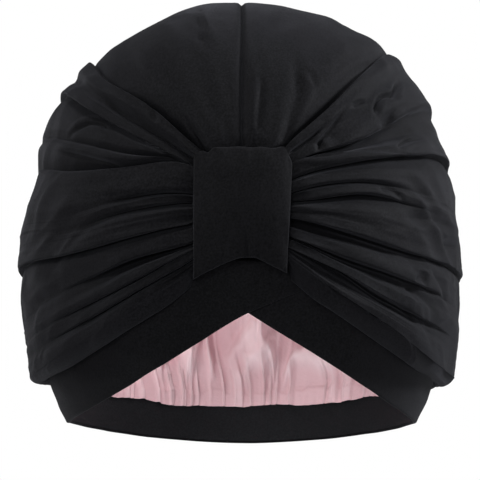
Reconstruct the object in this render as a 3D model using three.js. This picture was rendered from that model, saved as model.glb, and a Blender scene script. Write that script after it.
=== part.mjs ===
// Turban-style shower cap, as it is worn: a puffed jersey crown of two panels that fan out in folds
// from a knot wrap at the front, a head band whose ends cross below the knot, and a satin lining.
// Millimetres. x runs to the viewer's right, y to the back of the head and z up. The origin is the
// middle of the head opening, level with the band's lower edge over the ears.
import * as THREE from "three";

// ---------------------------------------------------------------- driving sizes
const DOME = {
  halfWidth: 110,
  front: 116,
  back: 124,
  rise: 140, // from the widest level up to the top
  fall: 150, // the same curve continued below the widest level
  widestHeight: 70,
  planPower: 2.05,
  sidePower: 2.3,
};
// Every fold fans round one line, from the knot at the front down to the nape.
const FAN = { height: 43, tilt: 28.8 };
const OPENING = { halfWidth: 87, halfDepth: 98.5, middleBack: -2 };
const BAND = { width: 25, thickness: 2, steps: 34, lap: 2.6, lapEnds: 24, lapFades: 14 };
// How far the band's ends run past the front centre, and the share of its width lost per degree there.
const TAIL = { left: -19, right: -13, taper: 0.03 };
const CROWN = {
  wall: 1.2,
  firstRing: 5, // degrees from the knot, under the wrap
  pinch: 6, // how far the gathers dip under the wrap
  pinchEnds: 22,
  rollTurns: 3.4, // degrees of the fan that the hem's roll takes up
  seamGap: 0.3,
  hemGap: 1.3,
  hemOverlap: 0.6,
  hemReach: 6, // how far below its seat the hem's roll leaves the band
};
const WRAP = {
  wall: 1.6,
  columns: 12,
  middle: 0.7,
  halfWidth: 23.6,
  crownUp: 2.4, // how much prouder its middle is than its side edges
  top: 134.5,
  bottom: 82.5,
  topDroop: 1.2,
  leftDroop: 9.5,
  rightDroop: 5.5,
  rightTaper: 0.09,
};
const LINING = {
  wall: 1,
  drop: 6, // its loose edge hangs this far down the band's inner face
  neckUp: 1.5,
  gap: 1.2,
  clearLow: 13, // inside the dome, just above the band
  clearHigh: 9, // inside the dome, at the top
  apexBack: 4,
  foldDepth: 1.2,
};
const LINING_GRID = { around: 44, up: 7, frontAngle: 12 };

// The band's lower edge: angle from the front, height on the left and on the right, and how far the
// band leans out at its top. The right side rises more steeply, so the ends cross off centre.
const EDGE = [
  { angle: -20, left: 68, right: 73, lean: 5 },
  { angle: 0, left: 55.2, right: 57.9, lean: 5 },
  { angle: 13, left: 42.9, right: 46.2, lean: 7 },
  { angle: 26, left: 31.3, right: 34.8, lean: 11 },
  { angle: 42, left: 18.7, right: 21.4, lean: 16 },
  { angle: 59, left: 8.6, right: 9.6, lean: 20 },
  { angle: 80, left: 1, right: 1, lean: 22 },
  { angle: 100, left: -2, right: -2.4, lean: 22 },
  { angle: 127, left: -7.9, right: -8.8, lean: 20 },
  { angle: 152, left: -13.4, right: -13.8, lean: 17 },
  { angle: 180, left: -16.3, right: -16.3, lean: 16 },
];

// How much fuller than the dome each side is, by turn round the fan: a flatter top on the left and
// a fuller shoulder on the right.
const FULLNESS = [
  { turn: 0, left: 0, right: 0 },
  { turn: 6, left: -0.4, right: -1.2 },
  { turn: 12, left: -2.2, right: -1.6 },
  { turn: 24, left: -4.5, right: -0.8 },
  { turn: 30, left: -2.8, right: 2.2 },
  { turn: 37, left: -1, right: -0.4 },
  { turn: 45, left: -0.6, right: 0.8 },
  { turn: 54, left: -2, right: -1.4 },
  { turn: 64, left: -2, right: -1.8 },
  { turn: 74, left: 0.3, right: -1.6 },
  { turn: 82, left: -0.4, right: -2.5 },
  { turn: 96, left: -1.4, right: -0.8 },
  { turn: 112, left: 0, right: 0 },
];

// One row for each fold line. turn: its angle round the fan at four stations, 0 at the centre seam.
// rise: how far it stands off the dome there. The stations are 10, 24.5, 60 and 147 degrees from
// the knot along the fan.
const STATIONS = { first: 10, ratio: 2.45 };
const crest = (name, turn, rise) => ({ name, turn, rise, groove: false });
const groove = (name, turn, rise) => ({ name, turn, rise, groove: true });
const LEFT_FOLDS = [
  groove("centre seam", [0, 0, 0, 0], [2, -0.6, -0.6, -0.6]),
  crest("top panel", [9, 9, 9, 9], [2.8, 0.4, 0.4, 0]),
  crest("drape", [25, 25, 26, 20], [2.8, 1.4, 0.8, 0]),
  groove("panel edge", [35, 38.5, 35, 31], [-2, -2.6, -2, -0.3]),
  crest("swag edge", [38, 42, 38, 36], [2.4, 3.4, 2.4, 0.3]),
  groove("upper crease", [44, 50, 42, 42], [-3, -3.4, -2.6, -0.3]),
  crest("upper roll", [48, 56, 50, 48], [2, 2.2, 1.6, 0.3]),
  groove("overlap", [52, 63, 61, 54], [-3, -2.4, -0.4, -0.3]),
  crest("upper belly", [66, 72, 69, 60], [2.6, 2.6, 2, 0.3]),
  groove("short crease", [78, 82, 75, 65], [-3, -1.6, 0.6, -0.3]),
  crest("belly", [88, 89, 79, 70], [2.6, 2.6, 2.2, 0.3]),
  crest("belly lip", [96, 93.5, 83, 74], [1.6, 2.2, 1.8, 0]),
  groove("long crease", [101, 96, 85, 77], [-3.4, -3.8, -3.4, -0.4]),
  crest("lower belly", [109, 102, 92, 84], [1.6, 1.6, 1.8, 0]),
  groove("lower crease", [121, 111, 100, 92], [-3.4, -2.8, 0, 0]),
  crest("lower roll", [130, 119, 106, 98], [2, 2, 1, 0]),
  groove("hem crease", [136, 125, 110, 103], [-2.6, -1.8, 0, 0]),
  crest("hem roll", [141, 130, 114.5, 108], [1, 1.6, 1.4, 0]),
  crest("hem end", [149, 151, 151, 151], [0, 0, 0, 0]),
];
const RIGHT_FOLDS = [
  groove("centre seam", [0, 0, 0, 0], [2, -0.6, -0.6, -0.6]),
  crest("top panel", [9, 9, 9, 9], [2.8, 0.6, 0.6, 0]),
  crest("drape", [26, 28, 25, 20], [2.6, 1.2, 0.8, 0]),
  groove("panel edge", [34, 38, 32, 29], [-2, -2.6, -2, -0.3]),
  crest("swag edge", [38, 41, 36, 34], [2.4, 3.2, 2.6, 0.3]),
  groove("edge crease", [44, 44.5, 39.5, 38], [-2, -2.2, -1.6, -0.3]),
  crest("upper roll", [48, 49, 44, 42], [2, 2.6, 2, 0.3]),
  groove("main groove", [51, 55, 49, 47], [-3, -3.8, -3, -0.4]),
  crest("long ridge", [55, 57.5, 57.5, 54], [2, 3, 3, 0.4]),
  groove("ridge shadow", [59, 62.5, 61, 58], [-2.4, -2.4, -1.4, -0.3]),
  crest("upper belly", [66, 68, 66, 62], [2, 2.2, 1.6, 0.3]),
  groove("short crease", [76, 74, 72, 66], [-3.2, -2.8, -0.4, -0.2]),
  crest("belly", [86, 84, 78, 71], [3, 3, 2.4, 0.3]),
  groove("long crease", [94, 93.5, 84, 77], [-3.4, -3.8, -3.4, -0.4]),
  crest("lower belly", [102, 99, 91, 84], [2.6, 2.4, 2, 0]),
  groove("first deep crease", [112, 105, 97, 90], [-4, -3.6, 0, 0]),
  crest("between creases", [119, 110, 103, 96], [2.6, 2.2, 1, 0]),
  groove("second deep crease", [127, 115.5, 108, 101], [-4, -3.6, 0, 0]),
  crest("hem roll", [137, 126, 114, 107], [2, 2.6, 1.6, 0]),
  crest("hem end", [149, 151, 151, 151], [0, 0, 0, 0]),
];
const LINES_PER_FOLD = 2;
const HEM_LINES = 7; // between the last two rows of a table, evenly spaced along the hem
const STEPS_OUT = 15; // along a fold line, from the knot to the hem's roll
const STEPS_ROLL = 4; // round the hem's roll

// The knot wrap from its tucked upper end to its tucked lower end: height as a share of the way
// from the bottom edge to the top edge, and how far it stands off the dome.
const WRAP_PATH = [
  { share: 0.9, off: 0.8 },
  { share: 0.97, off: 1.8 },
  { share: 1, off: 3.6 },
  { share: 0.95, off: 5.6 },
  { share: 0.75, off: 6.2 },
  { share: 0.5, off: 6.4 },
  { share: 0.25, off: 6 },
  { share: 0.07, off: 5 },
  { share: 0, off: 2.4 },
  { share: 0.06, off: -0.4 },
  { share: 0.16, off: -1.6 },
];

// ---------------------------------------------------------------- small tools
const radians = THREE.MathUtils.degToRad;
const degrees = THREE.MathUtils.radToDeg;
const smooth = (x, from, to) => THREE.MathUtils.smoothstep(x, from, to);
const V = (x, y, z) => new THREE.Vector3(x, y, z);
const plus = (point, direction, distance) => point.clone().addScaledVector(direction, distance);

// A smooth curve through the points (xs, ys), flat past both ends.
function curveThrough(xs, ys) {
  const slope = (i) => {
    const a = Math.max(i - 1, 0);
    const b = Math.min(i + 1, xs.length - 1);
    return (ys[b] - ys[a]) / (xs[b] - xs[a]);
  };
  return (x) => {
    if (x <= xs[0]) return ys[0];
    if (x >= xs.at(-1)) return ys.at(-1);
    const i = xs.findIndex((next) => next > x) - 1;
    const span = xs[i + 1] - xs[i];
    const t = (x - xs[i]) / span;
    const [t2, t3] = [t * t, t * t * t];
    return (
      (2 * t3 - 3 * t2 + 1) * ys[i] +
      (t3 - 2 * t2 + t) * span * slope(i) +
      (3 * t2 - 2 * t3) * ys[i + 1] +
      (t3 - t2) * span * slope(i + 1)
    );
  };
}

// A closed wall: the grid of outer points, and the same grid moved in by the wall along its normals.
// rows[i][j] runs so that (next i) x (next j) points outward. round closes the grid along i.
function wallOf(rows, wall, { round = false, pole = null } = {}) {
  const [m, n] = [rows.length, rows[0].length];
  const at = (i, j) => {
    if (j >= n) return pole;
    return rows[round ? (i + m) % m : Math.min(Math.max(i, 0), m - 1)][Math.max(j, 0)];
  };
  const points = [];
  const inner = [];
  for (let i = 0; i < m; i++) {
    for (let j = 0; j < n; j++) {
      const along = at(i + 1, j).clone().sub(at(i - 1, j));
      const last = pole || j < n - 1 ? j + 1 : j;
      const across = at(i, last).clone().sub(at(i, j - 1));
      const out = along.cross(across).normalize();
      points.push(at(i, j));
      inner.push(plus(at(i, j), out, -wall));
    }
  }
  const index = [];
  const count = points.length;
  const quad = (a, b, c, d) => index.push(a, b, c, a, c, d);
  const id = (i, j) => (i % m) * n + j;
  const across = round ? m : m - 1;
  for (let i = 0; i < across; i++) {
    for (let j = 0; j < n - 1; j++) {
      quad(id(i, j), id(i + 1, j), id(i + 1, j + 1), id(i, j + 1));
      quad(count + id(i, j), count + id(i, j + 1), count + id(i + 1, j + 1), count + id(i + 1, j));
    }
    quad(id(i + 1, 0), id(i, 0), count + id(i, 0), count + id(i + 1, 0));
    if (!pole) {
      const [a, b] = [id(i, n - 1), id(i + 1, n - 1)];
      quad(a, b, count + b, count + a);
    }
  }
  if (!round) {
    for (let j = 0; j < n - 1; j++) {
      quad(id(0, j), id(0, j + 1), count + id(0, j + 1), count + id(0, j));
      const [a, b] = [id(m - 1, j), id(m - 1, j + 1)];
      quad(b, a, count + a, count + b);
    }
  }
  const all = [...points, ...inner];
  if (pole) {
    all.push(pole, plus(pole, V(0, 0, 1), -wall));
    for (let i = 0; i < m; i++) {
      index.push(id(i, n - 1), id(i + 1, n - 1), 2 * count);
      index.push(count + id(i + 1, n - 1), count + id(i, n - 1), 2 * count + 1);
    }
  }
  const geometry = new THREE.BufferGeometry();
  geometry.setAttribute("position", new THREE.Float32BufferAttribute(all.flatMap((p) => [...p]), 3));
  geometry.setIndex(index);
  geometry.computeVertexNormals();
  return geometry;
}

// ---------------------------------------------------------------- the dome that the folds stand on
function domeLevel(p) {
  const depth = p.y < 0 ? DOME.front : DOME.back;
  const height = p.z > DOME.widestHeight ? DOME.rise : DOME.fall;
  const plan = Math.abs(p.x / DOME.halfWidth) ** DOME.planPower + Math.abs(p.y / depth) ** DOME.planPower;
  const side = Math.abs((p.z - DOME.widestHeight) / height) ** DOME.sidePower;
  return plan ** (DOME.sidePower / DOME.planPower) + side;
}

// Where a ray from a point inside the dome leaves it, as a distance.
function domeDistance(from, direction) {
  let [near, far] = [0, 400];
  for (let k = 0; k < 40; k++) {
    const middle = (near + far) / 2;
    if (domeLevel(plus(from, direction, middle)) < 1) near = middle;
    else far = middle;
  }
  return near;
}

const fanMiddle = V(0, 0, FAN.height);
const fanAhead = V(0, -Math.cos(radians(FAN.tilt)), Math.sin(radians(FAN.tilt)));
const fanUp = V(0, Math.sin(radians(FAN.tilt)), Math.cos(radians(FAN.tilt)));

// turn: angle round the fan from the centre seam. away: angle from the knot. side: -1 left, 1 right.
function fanDirection(side, turn, away) {
  const [t, a] = [radians(turn), radians(away)];
  return V(side * Math.sin(t) * Math.sin(a), 0, 0)
    .addScaledVector(fanAhead, Math.cos(a))
    .addScaledVector(fanUp, Math.cos(t) * Math.sin(a));
}

function fanAngles(point) {
  const d = point.clone().sub(fanMiddle).normalize();
  return {
    turn: degrees(Math.atan2(Math.abs(d.x), d.dot(fanUp))),
    away: degrees(Math.acos(THREE.MathUtils.clamp(d.dot(fanAhead), -1, 1))),
  };
}

// ---------------------------------------------------------------- head band
const edgeAngles = EDGE.map((row) => row.angle);
const leftHeight = curveThrough(edgeAngles, EDGE.map((row) => row.left));
const rightHeight = curveThrough(edgeAngles, EDGE.map((row) => row.right));
const edgeLean = curveThrough(edgeAngles, EDGE.map((row) => row.lean));

function edgePoint(side, angle) {
  const a = radians(angle);
  const x = side * OPENING.halfWidth * Math.sin(a);
  const y = OPENING.middleBack - OPENING.halfDepth * Math.cos(a);
  return V(x, y, side < 0 ? leftHeight(angle) : rightHeight(angle));
}

// A point of the band: up its width from the lower edge, and out from its outer face.
function bandPoint(side, angle, up, out) {
  const edge = edgePoint(side, angle);
  const alongEdge = edgePoint(side, angle + 0.5).sub(edgePoint(side, angle - 0.5)).normalize();
  const a = radians(angle);
  const flat = V((side * Math.sin(a)) / OPENING.halfWidth, -Math.cos(a) / OPENING.halfDepth, 0).normalize();
  const lean = radians(edgeLean(angle));
  const upward = flat.clone().multiplyScalar(Math.sin(lean)).add(V(0, 0, Math.cos(lean)));
  upward.addScaledVector(alongEdge, -upward.dot(alongEdge)).normalize();
  const outward = alongEdge.clone().cross(upward).normalize();
  if (outward.dot(flat) < 0) outward.negate();
  const lapped = side < 0 ? 1 - smooth(angle, BAND.lapEnds, BAND.lapEnds + BAND.lapFades) : 0;
  return plus(plus(edge, upward, up), outward, out + BAND.lap * lapped);
}

// The strip runs from its right end at the front, round the back, to its left end at the front.
function headBand() {
  const places = [];
  for (let k = 0; k <= BAND.steps; k++) {
    places.push({ side: 1, angle: THREE.MathUtils.lerp(TAIL.right, 180, k / BAND.steps) });
  }
  for (let k = BAND.steps - 1; k >= 0; k--) {
    places.push({ side: -1, angle: THREE.MathUtils.lerp(TAIL.left, 180, k / BAND.steps) });
  }
  const rows = places.map(({ side, angle }) => {
    const width = BAND.width * (1 + TAIL.taper * Math.min(angle, 0));
    return [0, 0.5, 1].map((share) => bandPoint(side, angle, share * width, 0));
  });
  return wallOf(rows, BAND.thickness);
}

// ---------------------------------------------------------------- crown
// The hem: where the crown's fold lines end, on the band's top edge.
const HEM = [-1, 1].map((side) => {
  const spots = [];
  for (let angle = 0; angle <= 180; angle += 1) {
    spots.push({ angle, ...fanAngles(bandPoint(side, angle, BAND.width, 0)) });
  }
  return spots;
});

function hemSpot(side, turnAt) {
  const spots = HEM[side < 0 ? 0 : 1];
  const past = (spot) => turnAt(spot.away) - spot.turn;
  let i = 1;
  while (i < spots.length - 1 && past(spots[i]) < 0) i++;
  const [a, b] = [past(spots[i - 1]), past(spots[i])];
  const share = b === a ? 1 : THREE.MathUtils.clamp(-a / (b - a), 0, 1);
  const between = (key) => THREE.MathUtils.lerp(spots[i - 1][key], spots[i][key], share);
  return { angle: between("angle"), away: between("away") };
}

const stationOf = (away) => Math.log(Math.max(away, 1) / STATIONS.first) / Math.log(STATIONS.ratio);

// How a fold's section runs from one row of the table to the next: steep beside a groove,
// flat on a crest.
function sectionShare(from, to, t) {
  if (from.groove && !to.groove) return Math.sin((Math.PI / 2) * t);
  if (!from.groove && to.groove) return 1 - Math.cos((Math.PI / 2) * t);
  return (1 - Math.cos(Math.PI * t)) / 2;
}

function foldLine(from, to, t) {
  const stations = [0, 1, 2, 3];
  const share = sectionShare(from, to, t);
  const mixed = (key, s) => stations.map((k) => THREE.MathUtils.lerp(from[key][k], to[key][k], s));
  const turn = curveThrough(stations, mixed("turn", t));
  const rise = curveThrough(stations, mixed("rise", share));
  return { turn: (away) => turn(stationOf(away)), rise: (away) => rise(stationOf(away)) };
}

const fullTurns = FULLNESS.map((row) => row.turn);
const fullLeft = curveThrough(fullTurns, FULLNESS.map((row) => row.left));
const fullRight = curveThrough(fullTurns, FULLNESS.map((row) => row.right));

function crownPoint(side, line, away) {
  const turn = line.turn(away);
  const direction = fanDirection(side, turn, away);
  const pinch = CROWN.pinch * (1 - smooth(away, STATIONS.first - 1, CROWN.pinchEnds));
  const pastKnot = smooth(away, 28, 60) * (1 - smooth(away, 88, 125));
  const full = (side < 0 ? fullLeft(turn) : fullRight(turn)) * pastKnot;
  const distance = domeDistance(fanMiddle, direction) + line.rise(away) + full - pinch;
  return plus(fanMiddle, direction, distance);
}

// One fold line from under the knot wrap over the crown to its hem, rolled under onto the band.
function crownRow(side, line) {
  const end = hemSpot(side, line.turn);
  const reach = end.away - CROWN.firstRing;
  const rollAway = end.away - Math.min(CROWN.rollTurns, 0.3 * reach);
  const row = [];
  for (let k = 0; k <= STEPS_OUT; k++) {
    const away = CROWN.firstRing + (rollAway - CROWN.firstRing) * (k / STEPS_OUT) ** 1.25;
    row.push(crownPoint(side, line, away));
  }
  const start = row.at(-1);
  const before = crownPoint(side, line, rollAway - 0.5);
  const lapped = side > 0 ? 1 - smooth(end.angle, BAND.lapEnds - 4, BAND.lapEnds + 6) : 0;
  const out = CROWN.hemGap + BAND.lap * lapped;
  const seatUp = BAND.width - CROWN.hemOverlap;
  const seat = bandPoint(side, end.angle, seatUp, out);
  const below = bandPoint(side, end.angle, seatUp - CROWN.hemReach, out);
  const length = start.distanceTo(seat);
  const leaving = start.clone().sub(before).normalize();
  const roll = new THREE.CubicBezierCurve3(start, plus(start, leaving, 0.55 * length), below, seat);
  for (let k = 1; k <= STEPS_ROLL; k++) row.push(roll.getPoint(k / STEPS_ROLL));
  return row;
}

// A line between the last two rows of a table, placed by where it reaches the hem.
function hemLine(side, folds, share) {
  const [from, to] = folds.slice(-2);
  const endAngle = (t) => hemSpot(side, foldLine(from, to, t).turn).angle;
  const wanted = THREE.MathUtils.lerp(endAngle(0), endAngle(1), share);
  let [low, high] = [0, 1];
  for (let k = 0; k < 20; k++) {
    const t = (low + high) / 2;
    if (endAngle(t) > wanted) low = t;
    else high = t;
  }
  return foldLine(from, to, share === 0 ? 0 : high);
}

function crownPanel(side, folds) {
  const rows = [];
  for (let i = 0; i < folds.length - 2; i++) {
    for (let k = 0; k < LINES_PER_FOLD; k++) {
      rows.push(crownRow(side, foldLine(folds[i], folds[i + 1], k / LINES_PER_FOLD)));
    }
  }
  for (let k = 0; k <= HEM_LINES; k++) rows.push(crownRow(side, hemLine(side, folds, k / HEM_LINES)));
  // The centre seam's row stops half a gap short of the other panel.
  rows[0].forEach((p) => (p.x = side * (CROWN.seamGap / 2)));
  const geometry = wallOf(side > 0 ? rows : rows.reverse(), CROWN.wall);
  keepToSide(geometry, side);
  return geometry;
}

// The two panels meet at the centre seam and never cross it.
function keepToSide(geometry, side) {
  const position = geometry.getAttribute("position");
  for (let i = 0; i < position.count; i++) {
    const x = side * Math.max(side * position.getX(i), CROWN.seamGap / 2);
    position.setX(i, x);
  }
}

// ---------------------------------------------------------------- knot wrap
// Where the dome's front lies at a place seen from the front.
const domeFront = (x, z) => -domeDistance(V(x, 0, z), V(0, -1, 0));

function knotWrap() {
  const rows = [];
  for (let k = 0; k <= WRAP.columns; k++) {
    const across = -1 + (2 * k) / WRAP.columns; // -1 at the left edge, 1 at the right
    const droop = across < 0 ? WRAP.leftDroop : WRAP.rightDroop;
    const low = WRAP.bottom - droop * Math.abs(across) ** 1.7;
    const high = WRAP.top - WRAP.topDroop * across ** 2;
    rows.push(
      WRAP_PATH.map(({ share, off }) => {
        const z = THREE.MathUtils.lerp(low, high, share);
        const taper = across > 0 ? 1 - WRAP.rightTaper * (1 - share) : 1;
        const x = WRAP.middle + across * WRAP.halfWidth * taper;
        const rounded = WRAP.crownUp * across ** 4 * smooth(off, 0, 5);
        return V(x, domeFront(x, z) - off + rounded, z);
      }),
    );
  }
  return wallOf(rows.reverse(), WRAP.wall);
}

// ---------------------------------------------------------------- lining
// The right side's height, moved to the left side's where it counts and to their middle in front.
function mixedHeight(height, side, angle) {
  const { frontAngle } = LINING_GRID;
  const at = Math.max(angle, frontAngle);
  const lower = (rightHeight(at) - leftHeight(at)) / 2;
  const share = Math.min(1, angle / frontAngle);
  return height - lower + side * share * lower;
}

// A point on the band's inner face, carried straight across under the crossed front ends.
function insideBand(side, angle, up) {
  const { frontAngle } = LINING_GRID;
  const seat = bandPoint(1, Math.max(angle, frontAngle), up, -BAND.thickness - LINING.gap);
  seat.z = mixedHeight(seat.z, side, angle);
  const share = Math.min(1, Math.sin(radians(angle)) / Math.sin(radians(frontAngle)));
  return seat.setX(side * seat.x * (angle < frontAngle ? share : 1));
}

// One pleat line of the lining, from its loose edge inside the band to just short of the top.
function liningRow(side, angle, fold) {
  const middle = V(0, 0, 60);
  const neck = insideBand(side, angle, BAND.width + LINING.neckUp);
  const row = [insideBand(side, angle, BAND.width - LINING.drop), neck];
  const start = neck.clone().sub(middle);
  const lowest = Math.asin(start.z / start.length());
  const heading = Math.atan2(start.x, -start.y);
  for (let k = 1; k <= LINING_GRID.up; k++) {
    const share = k / (LINING_GRID.up + 1);
    const lift = THREE.MathUtils.lerp(lowest, Math.PI / 2, share);
    const level = V(Math.sin(heading), -Math.cos(heading), 0).multiplyScalar(Math.cos(lift));
    const direction = level.setZ(Math.sin(lift));
    const clear = THREE.MathUtils.lerp(LINING.clearLow, LINING.clearHigh, smooth(share, 0, 0.5));
    const far = domeDistance(middle, direction) - clear + fold * (1 - share);
    row.push(plus(middle, direction, THREE.MathUtils.lerp(start.length(), far, smooth(share, -0.05, 0.3))));
  }
  return row;
}

function lining() {
  const rows = [];
  for (let i = 0; i < LINING_GRID.around; i++) {
    const turn = (360 * i) / LINING_GRID.around;
    const fold = i % 2 ? LINING.foldDepth : -LINING.foldDepth;
    rows.push(turn <= 180 ? liningRow(1, turn, fold) : liningRow(-1, 360 - turn, fold));
  }
  const pole = V(0, LINING.apexBack, DOME.widestHeight + DOME.rise - LINING.clearHigh);
  return wallOf(rows, LINING.wall, { round: true, pole });
}

// ---------------------------------------------------------------- the cap
const JERSEY = { color: 0x1e1e20, roughness: 0.72, metalness: 0 };
const SATIN = { color: 0xd2b9bd, roughness: 0.4, metalness: 0 };

function piece(name, geometry, look) {
  const mesh = new THREE.Mesh(geometry, new THREE.MeshStandardMaterial(look));
  mesh.name = name;
  return mesh;
}

const cap = new THREE.Group();
cap.name = "shower_cap";
cap.add(
  piece("crown_left_panel", crownPanel(-1, LEFT_FOLDS), JERSEY),
  piece("crown_right_panel", crownPanel(1, RIGHT_FOLDS), JERSEY),
  piece("knot_wrap", knotWrap(), JERSEY),
  piece("head_band", headBand(), JERSEY),
  piece("lining", lining(), SATIN),
);

export default cap;
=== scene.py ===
# %% [markdown]
# # A turban shower cap
#
# The cap is worn on a head: a puffed crown of black jersey in two panels, gathered at the front
# under a knot wrap, a head band whose ends cross below the knot, and a pink satin lining that shows
# through the gap between the band's ends. The head itself is left out.
#
# The CAD model gives the sizes. Each cloth piece is built here again at a much finer grain, as one
# thin sheet, because the CAD walls are only a coarse stand-in for cloth. The shapes are computed in
# millimetres with numpy and turned into metres once, when a mesh is made.

# %% Load the CAD frame
import math

import bpy
import numpy as np
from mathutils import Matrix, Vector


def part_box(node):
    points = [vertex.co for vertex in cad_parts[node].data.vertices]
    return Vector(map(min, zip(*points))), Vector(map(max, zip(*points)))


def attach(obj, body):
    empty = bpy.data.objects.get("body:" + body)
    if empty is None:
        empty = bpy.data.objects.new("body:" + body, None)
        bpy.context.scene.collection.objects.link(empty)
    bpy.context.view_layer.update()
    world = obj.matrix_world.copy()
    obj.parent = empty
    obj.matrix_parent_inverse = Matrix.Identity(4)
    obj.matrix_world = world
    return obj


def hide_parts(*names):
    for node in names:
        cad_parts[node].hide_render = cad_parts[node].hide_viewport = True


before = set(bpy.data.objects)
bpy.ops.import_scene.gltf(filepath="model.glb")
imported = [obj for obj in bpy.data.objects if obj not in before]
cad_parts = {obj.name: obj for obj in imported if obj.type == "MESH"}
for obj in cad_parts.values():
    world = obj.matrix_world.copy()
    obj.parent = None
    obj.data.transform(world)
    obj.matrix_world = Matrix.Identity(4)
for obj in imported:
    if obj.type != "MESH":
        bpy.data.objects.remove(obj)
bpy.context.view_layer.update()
for node_name in sorted(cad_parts):
    low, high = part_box(node_name)
    size_mm = [round(1000 * (b - a)) for a, b in zip(low, high)]
    print("CAD piece", node_name, "is", size_mm, "mm")

MM = 0.001

# %% [markdown]
# ## Camera
#
# The cap is seen straight from the front at the height of its middle, from almost two metres away.
# A long lens keeps the sides from looking pinched. Making the camera first means that every later
# choice of detail can be judged in its view.

# %% The camera
CAMERA_PLACE = (-0.75, -1800.0, 91.0)
LENS = 270.0
SENSOR = 36.0

camera_data = bpy.data.cameras.new("front_camera")
camera_data.lens = LENS
camera_data.sensor_width = SENSOR
camera_data.clip_start = 0.05
camera_data.clip_end = 50.0
camera = bpy.data.objects.new("front_camera", camera_data)
camera.location = [MM * value for value in CAMERA_PLACE]
camera.rotation_euler = (math.radians(90), 0, 0)
bpy.context.collection.objects.link(camera)
bpy.context.scene.camera = camera
print("field of view is", round(SENSOR / LENS * 1800), "mm wide at the cap")

# %% [markdown]
# ## Small tools for curves and wrinkles
#
# Two helpers do most of the shaping. One draws a smooth curve through a short table, as a
# pattern cutter's flexible ruler does. The other makes soft, seeded unevenness for wrinkles:
# random numbers on a coarse grid with smooth blends between them. A fixed seed gives the same
# cloth on every run.

# %% Curves through tables
def smooth(x, start, end):
    """0 before start, 1 after end, and an S-shaped ramp between."""
    t = np.clip((x - start) / (end - start), 0, 1)
    return t * t * (3 - 2 * t)


def mix(a, b, share):
    """share of the way from a to b."""
    return a + (b - a) * share


def curve_through(xs, ys, x):
    """A smooth curve through a table. ys may hold several curves, one a row, with x to match."""
    xs = np.asarray(xs, float)
    ys = np.asarray(ys, float)
    before = np.maximum(np.arange(len(xs)) - 1, 0)
    after = np.minimum(np.arange(len(xs)) + 1, len(xs) - 1)
    slopes = (ys[..., after] - ys[..., before]) / (xs[after] - xs[before])
    x = np.clip(x, xs[0], xs[-1])
    i = np.clip(np.searchsorted(xs, x, side="right") - 1, 0, len(xs) - 2)
    span = xs[i + 1] - xs[i]
    t = (x - xs[i]) / span

    def at(table, index):
        if table.ndim == 1:
            return table[index]
        return np.take_along_axis(table, np.broadcast_to(index, x.shape), axis=1)

    start = (2 * t**3 - 3 * t**2 + 1) * at(ys, i) + (t**3 - 2 * t**2 + t) * span * at(slopes, i)
    end = (3 * t**2 - 2 * t**3) * at(ys, i + 1) + (t**3 - t**2) * span * at(slopes, i + 1)
    return start + end


# %% Seeded unevenness
NOISE_CELLS = 64


def unevenness(u, v, seed):
    """Soft random hills between -1 and 1, about one cell of u and v apart."""
    lattice = np.random.RandomState(seed).uniform(-1, 1, (NOISE_CELLS, NOISE_CELLS))
    u0 = np.floor(u).astype(int)
    v0 = np.floor(v).astype(int)
    fu = smooth(u - u0, 0, 1)
    fv = smooth(v - v0, 0, 1)

    def corner(du, dv):
        return lattice[(u0 + du) % NOISE_CELLS, (v0 + dv) % NOISE_CELLS]

    return mix(mix(corner(0, 0), corner(1, 0), fu), mix(corner(0, 1), corner(1, 1), fu), fv)


print("two samples of unevenness:", unevenness(np.array([0.5, 7.3]), np.array([0.2, 3.1]), 4).round(3))

# %% [markdown]
# ## The dome under the folds
#
# Worn, the cap fills out like a soft dome: round in plan and squarer when seen from the front.
# The folds are shallow beside it, so the dome is worked out first and each fold is then a small
# height above or below it. A superellipse gives a round-to-square shape with one number for each
# direction, so it needs no hand-placed points.

# %% The dome
HALF_WIDTH = 110.0
FRONT = 116.0
BACK = 124.0
RISE = 140.0
FALL = 150.0
WIDEST_HEIGHT = 70.0
PLAN_POWER = 2.05
SIDE_POWER = 2.3
BISECTIONS = 26


def dome_level(points):
    """Under 1 inside the dome and over 1 outside."""
    x, y, z = np.moveaxis(points, -1, 0)
    depth = np.where(y < 0, FRONT, BACK)
    height = np.where(z > WIDEST_HEIGHT, RISE, FALL)
    plan = np.abs(x / HALF_WIDTH) ** PLAN_POWER + np.abs(y / depth) ** PLAN_POWER
    side = np.abs((z - WIDEST_HEIGHT) / height) ** SIDE_POWER
    return plan ** (SIDE_POWER / PLAN_POWER) + side


def dome_normal(points):
    """Which way the dome's surface faces at points on it."""
    x, y, z = np.moveaxis(points, -1, 0)
    depth = np.where(y < 0, FRONT, BACK)
    height = np.where(z > WIDEST_HEIGHT, RISE, FALL)
    up = (z - WIDEST_HEIGHT) / height
    plan = np.abs(x / HALF_WIDTH) ** PLAN_POWER + np.abs(y / depth) ** PLAN_POWER
    level = np.maximum(plan, 1e-6) ** (SIDE_POWER / PLAN_POWER - 1)
    nx = level * np.sign(x) * np.abs(x / HALF_WIDTH) ** (PLAN_POWER - 1) / HALF_WIDTH
    ny = level * np.sign(y) * np.abs(y / depth) ** (PLAN_POWER - 1) / depth
    nz = np.sign(up) * np.abs(up) ** (SIDE_POWER - 1) / height
    normal = np.stack([nx, ny, nz], axis=-1)
    return normal / np.linalg.norm(normal, axis=-1, keepdims=True)


def dome_distance(start, direction):
    """How far a ray from inside the dome goes before it leaves it."""
    near = np.zeros(direction.shape[:-1])
    far = np.full(direction.shape[:-1], 300.0)
    for _ in range(BISECTIONS):
        middle = (near + far) / 2
        inside = dome_level(start + direction * middle[..., None]) < 1
        near = np.where(inside, middle, near)
        far = np.where(inside, far, middle)
    return near


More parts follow.
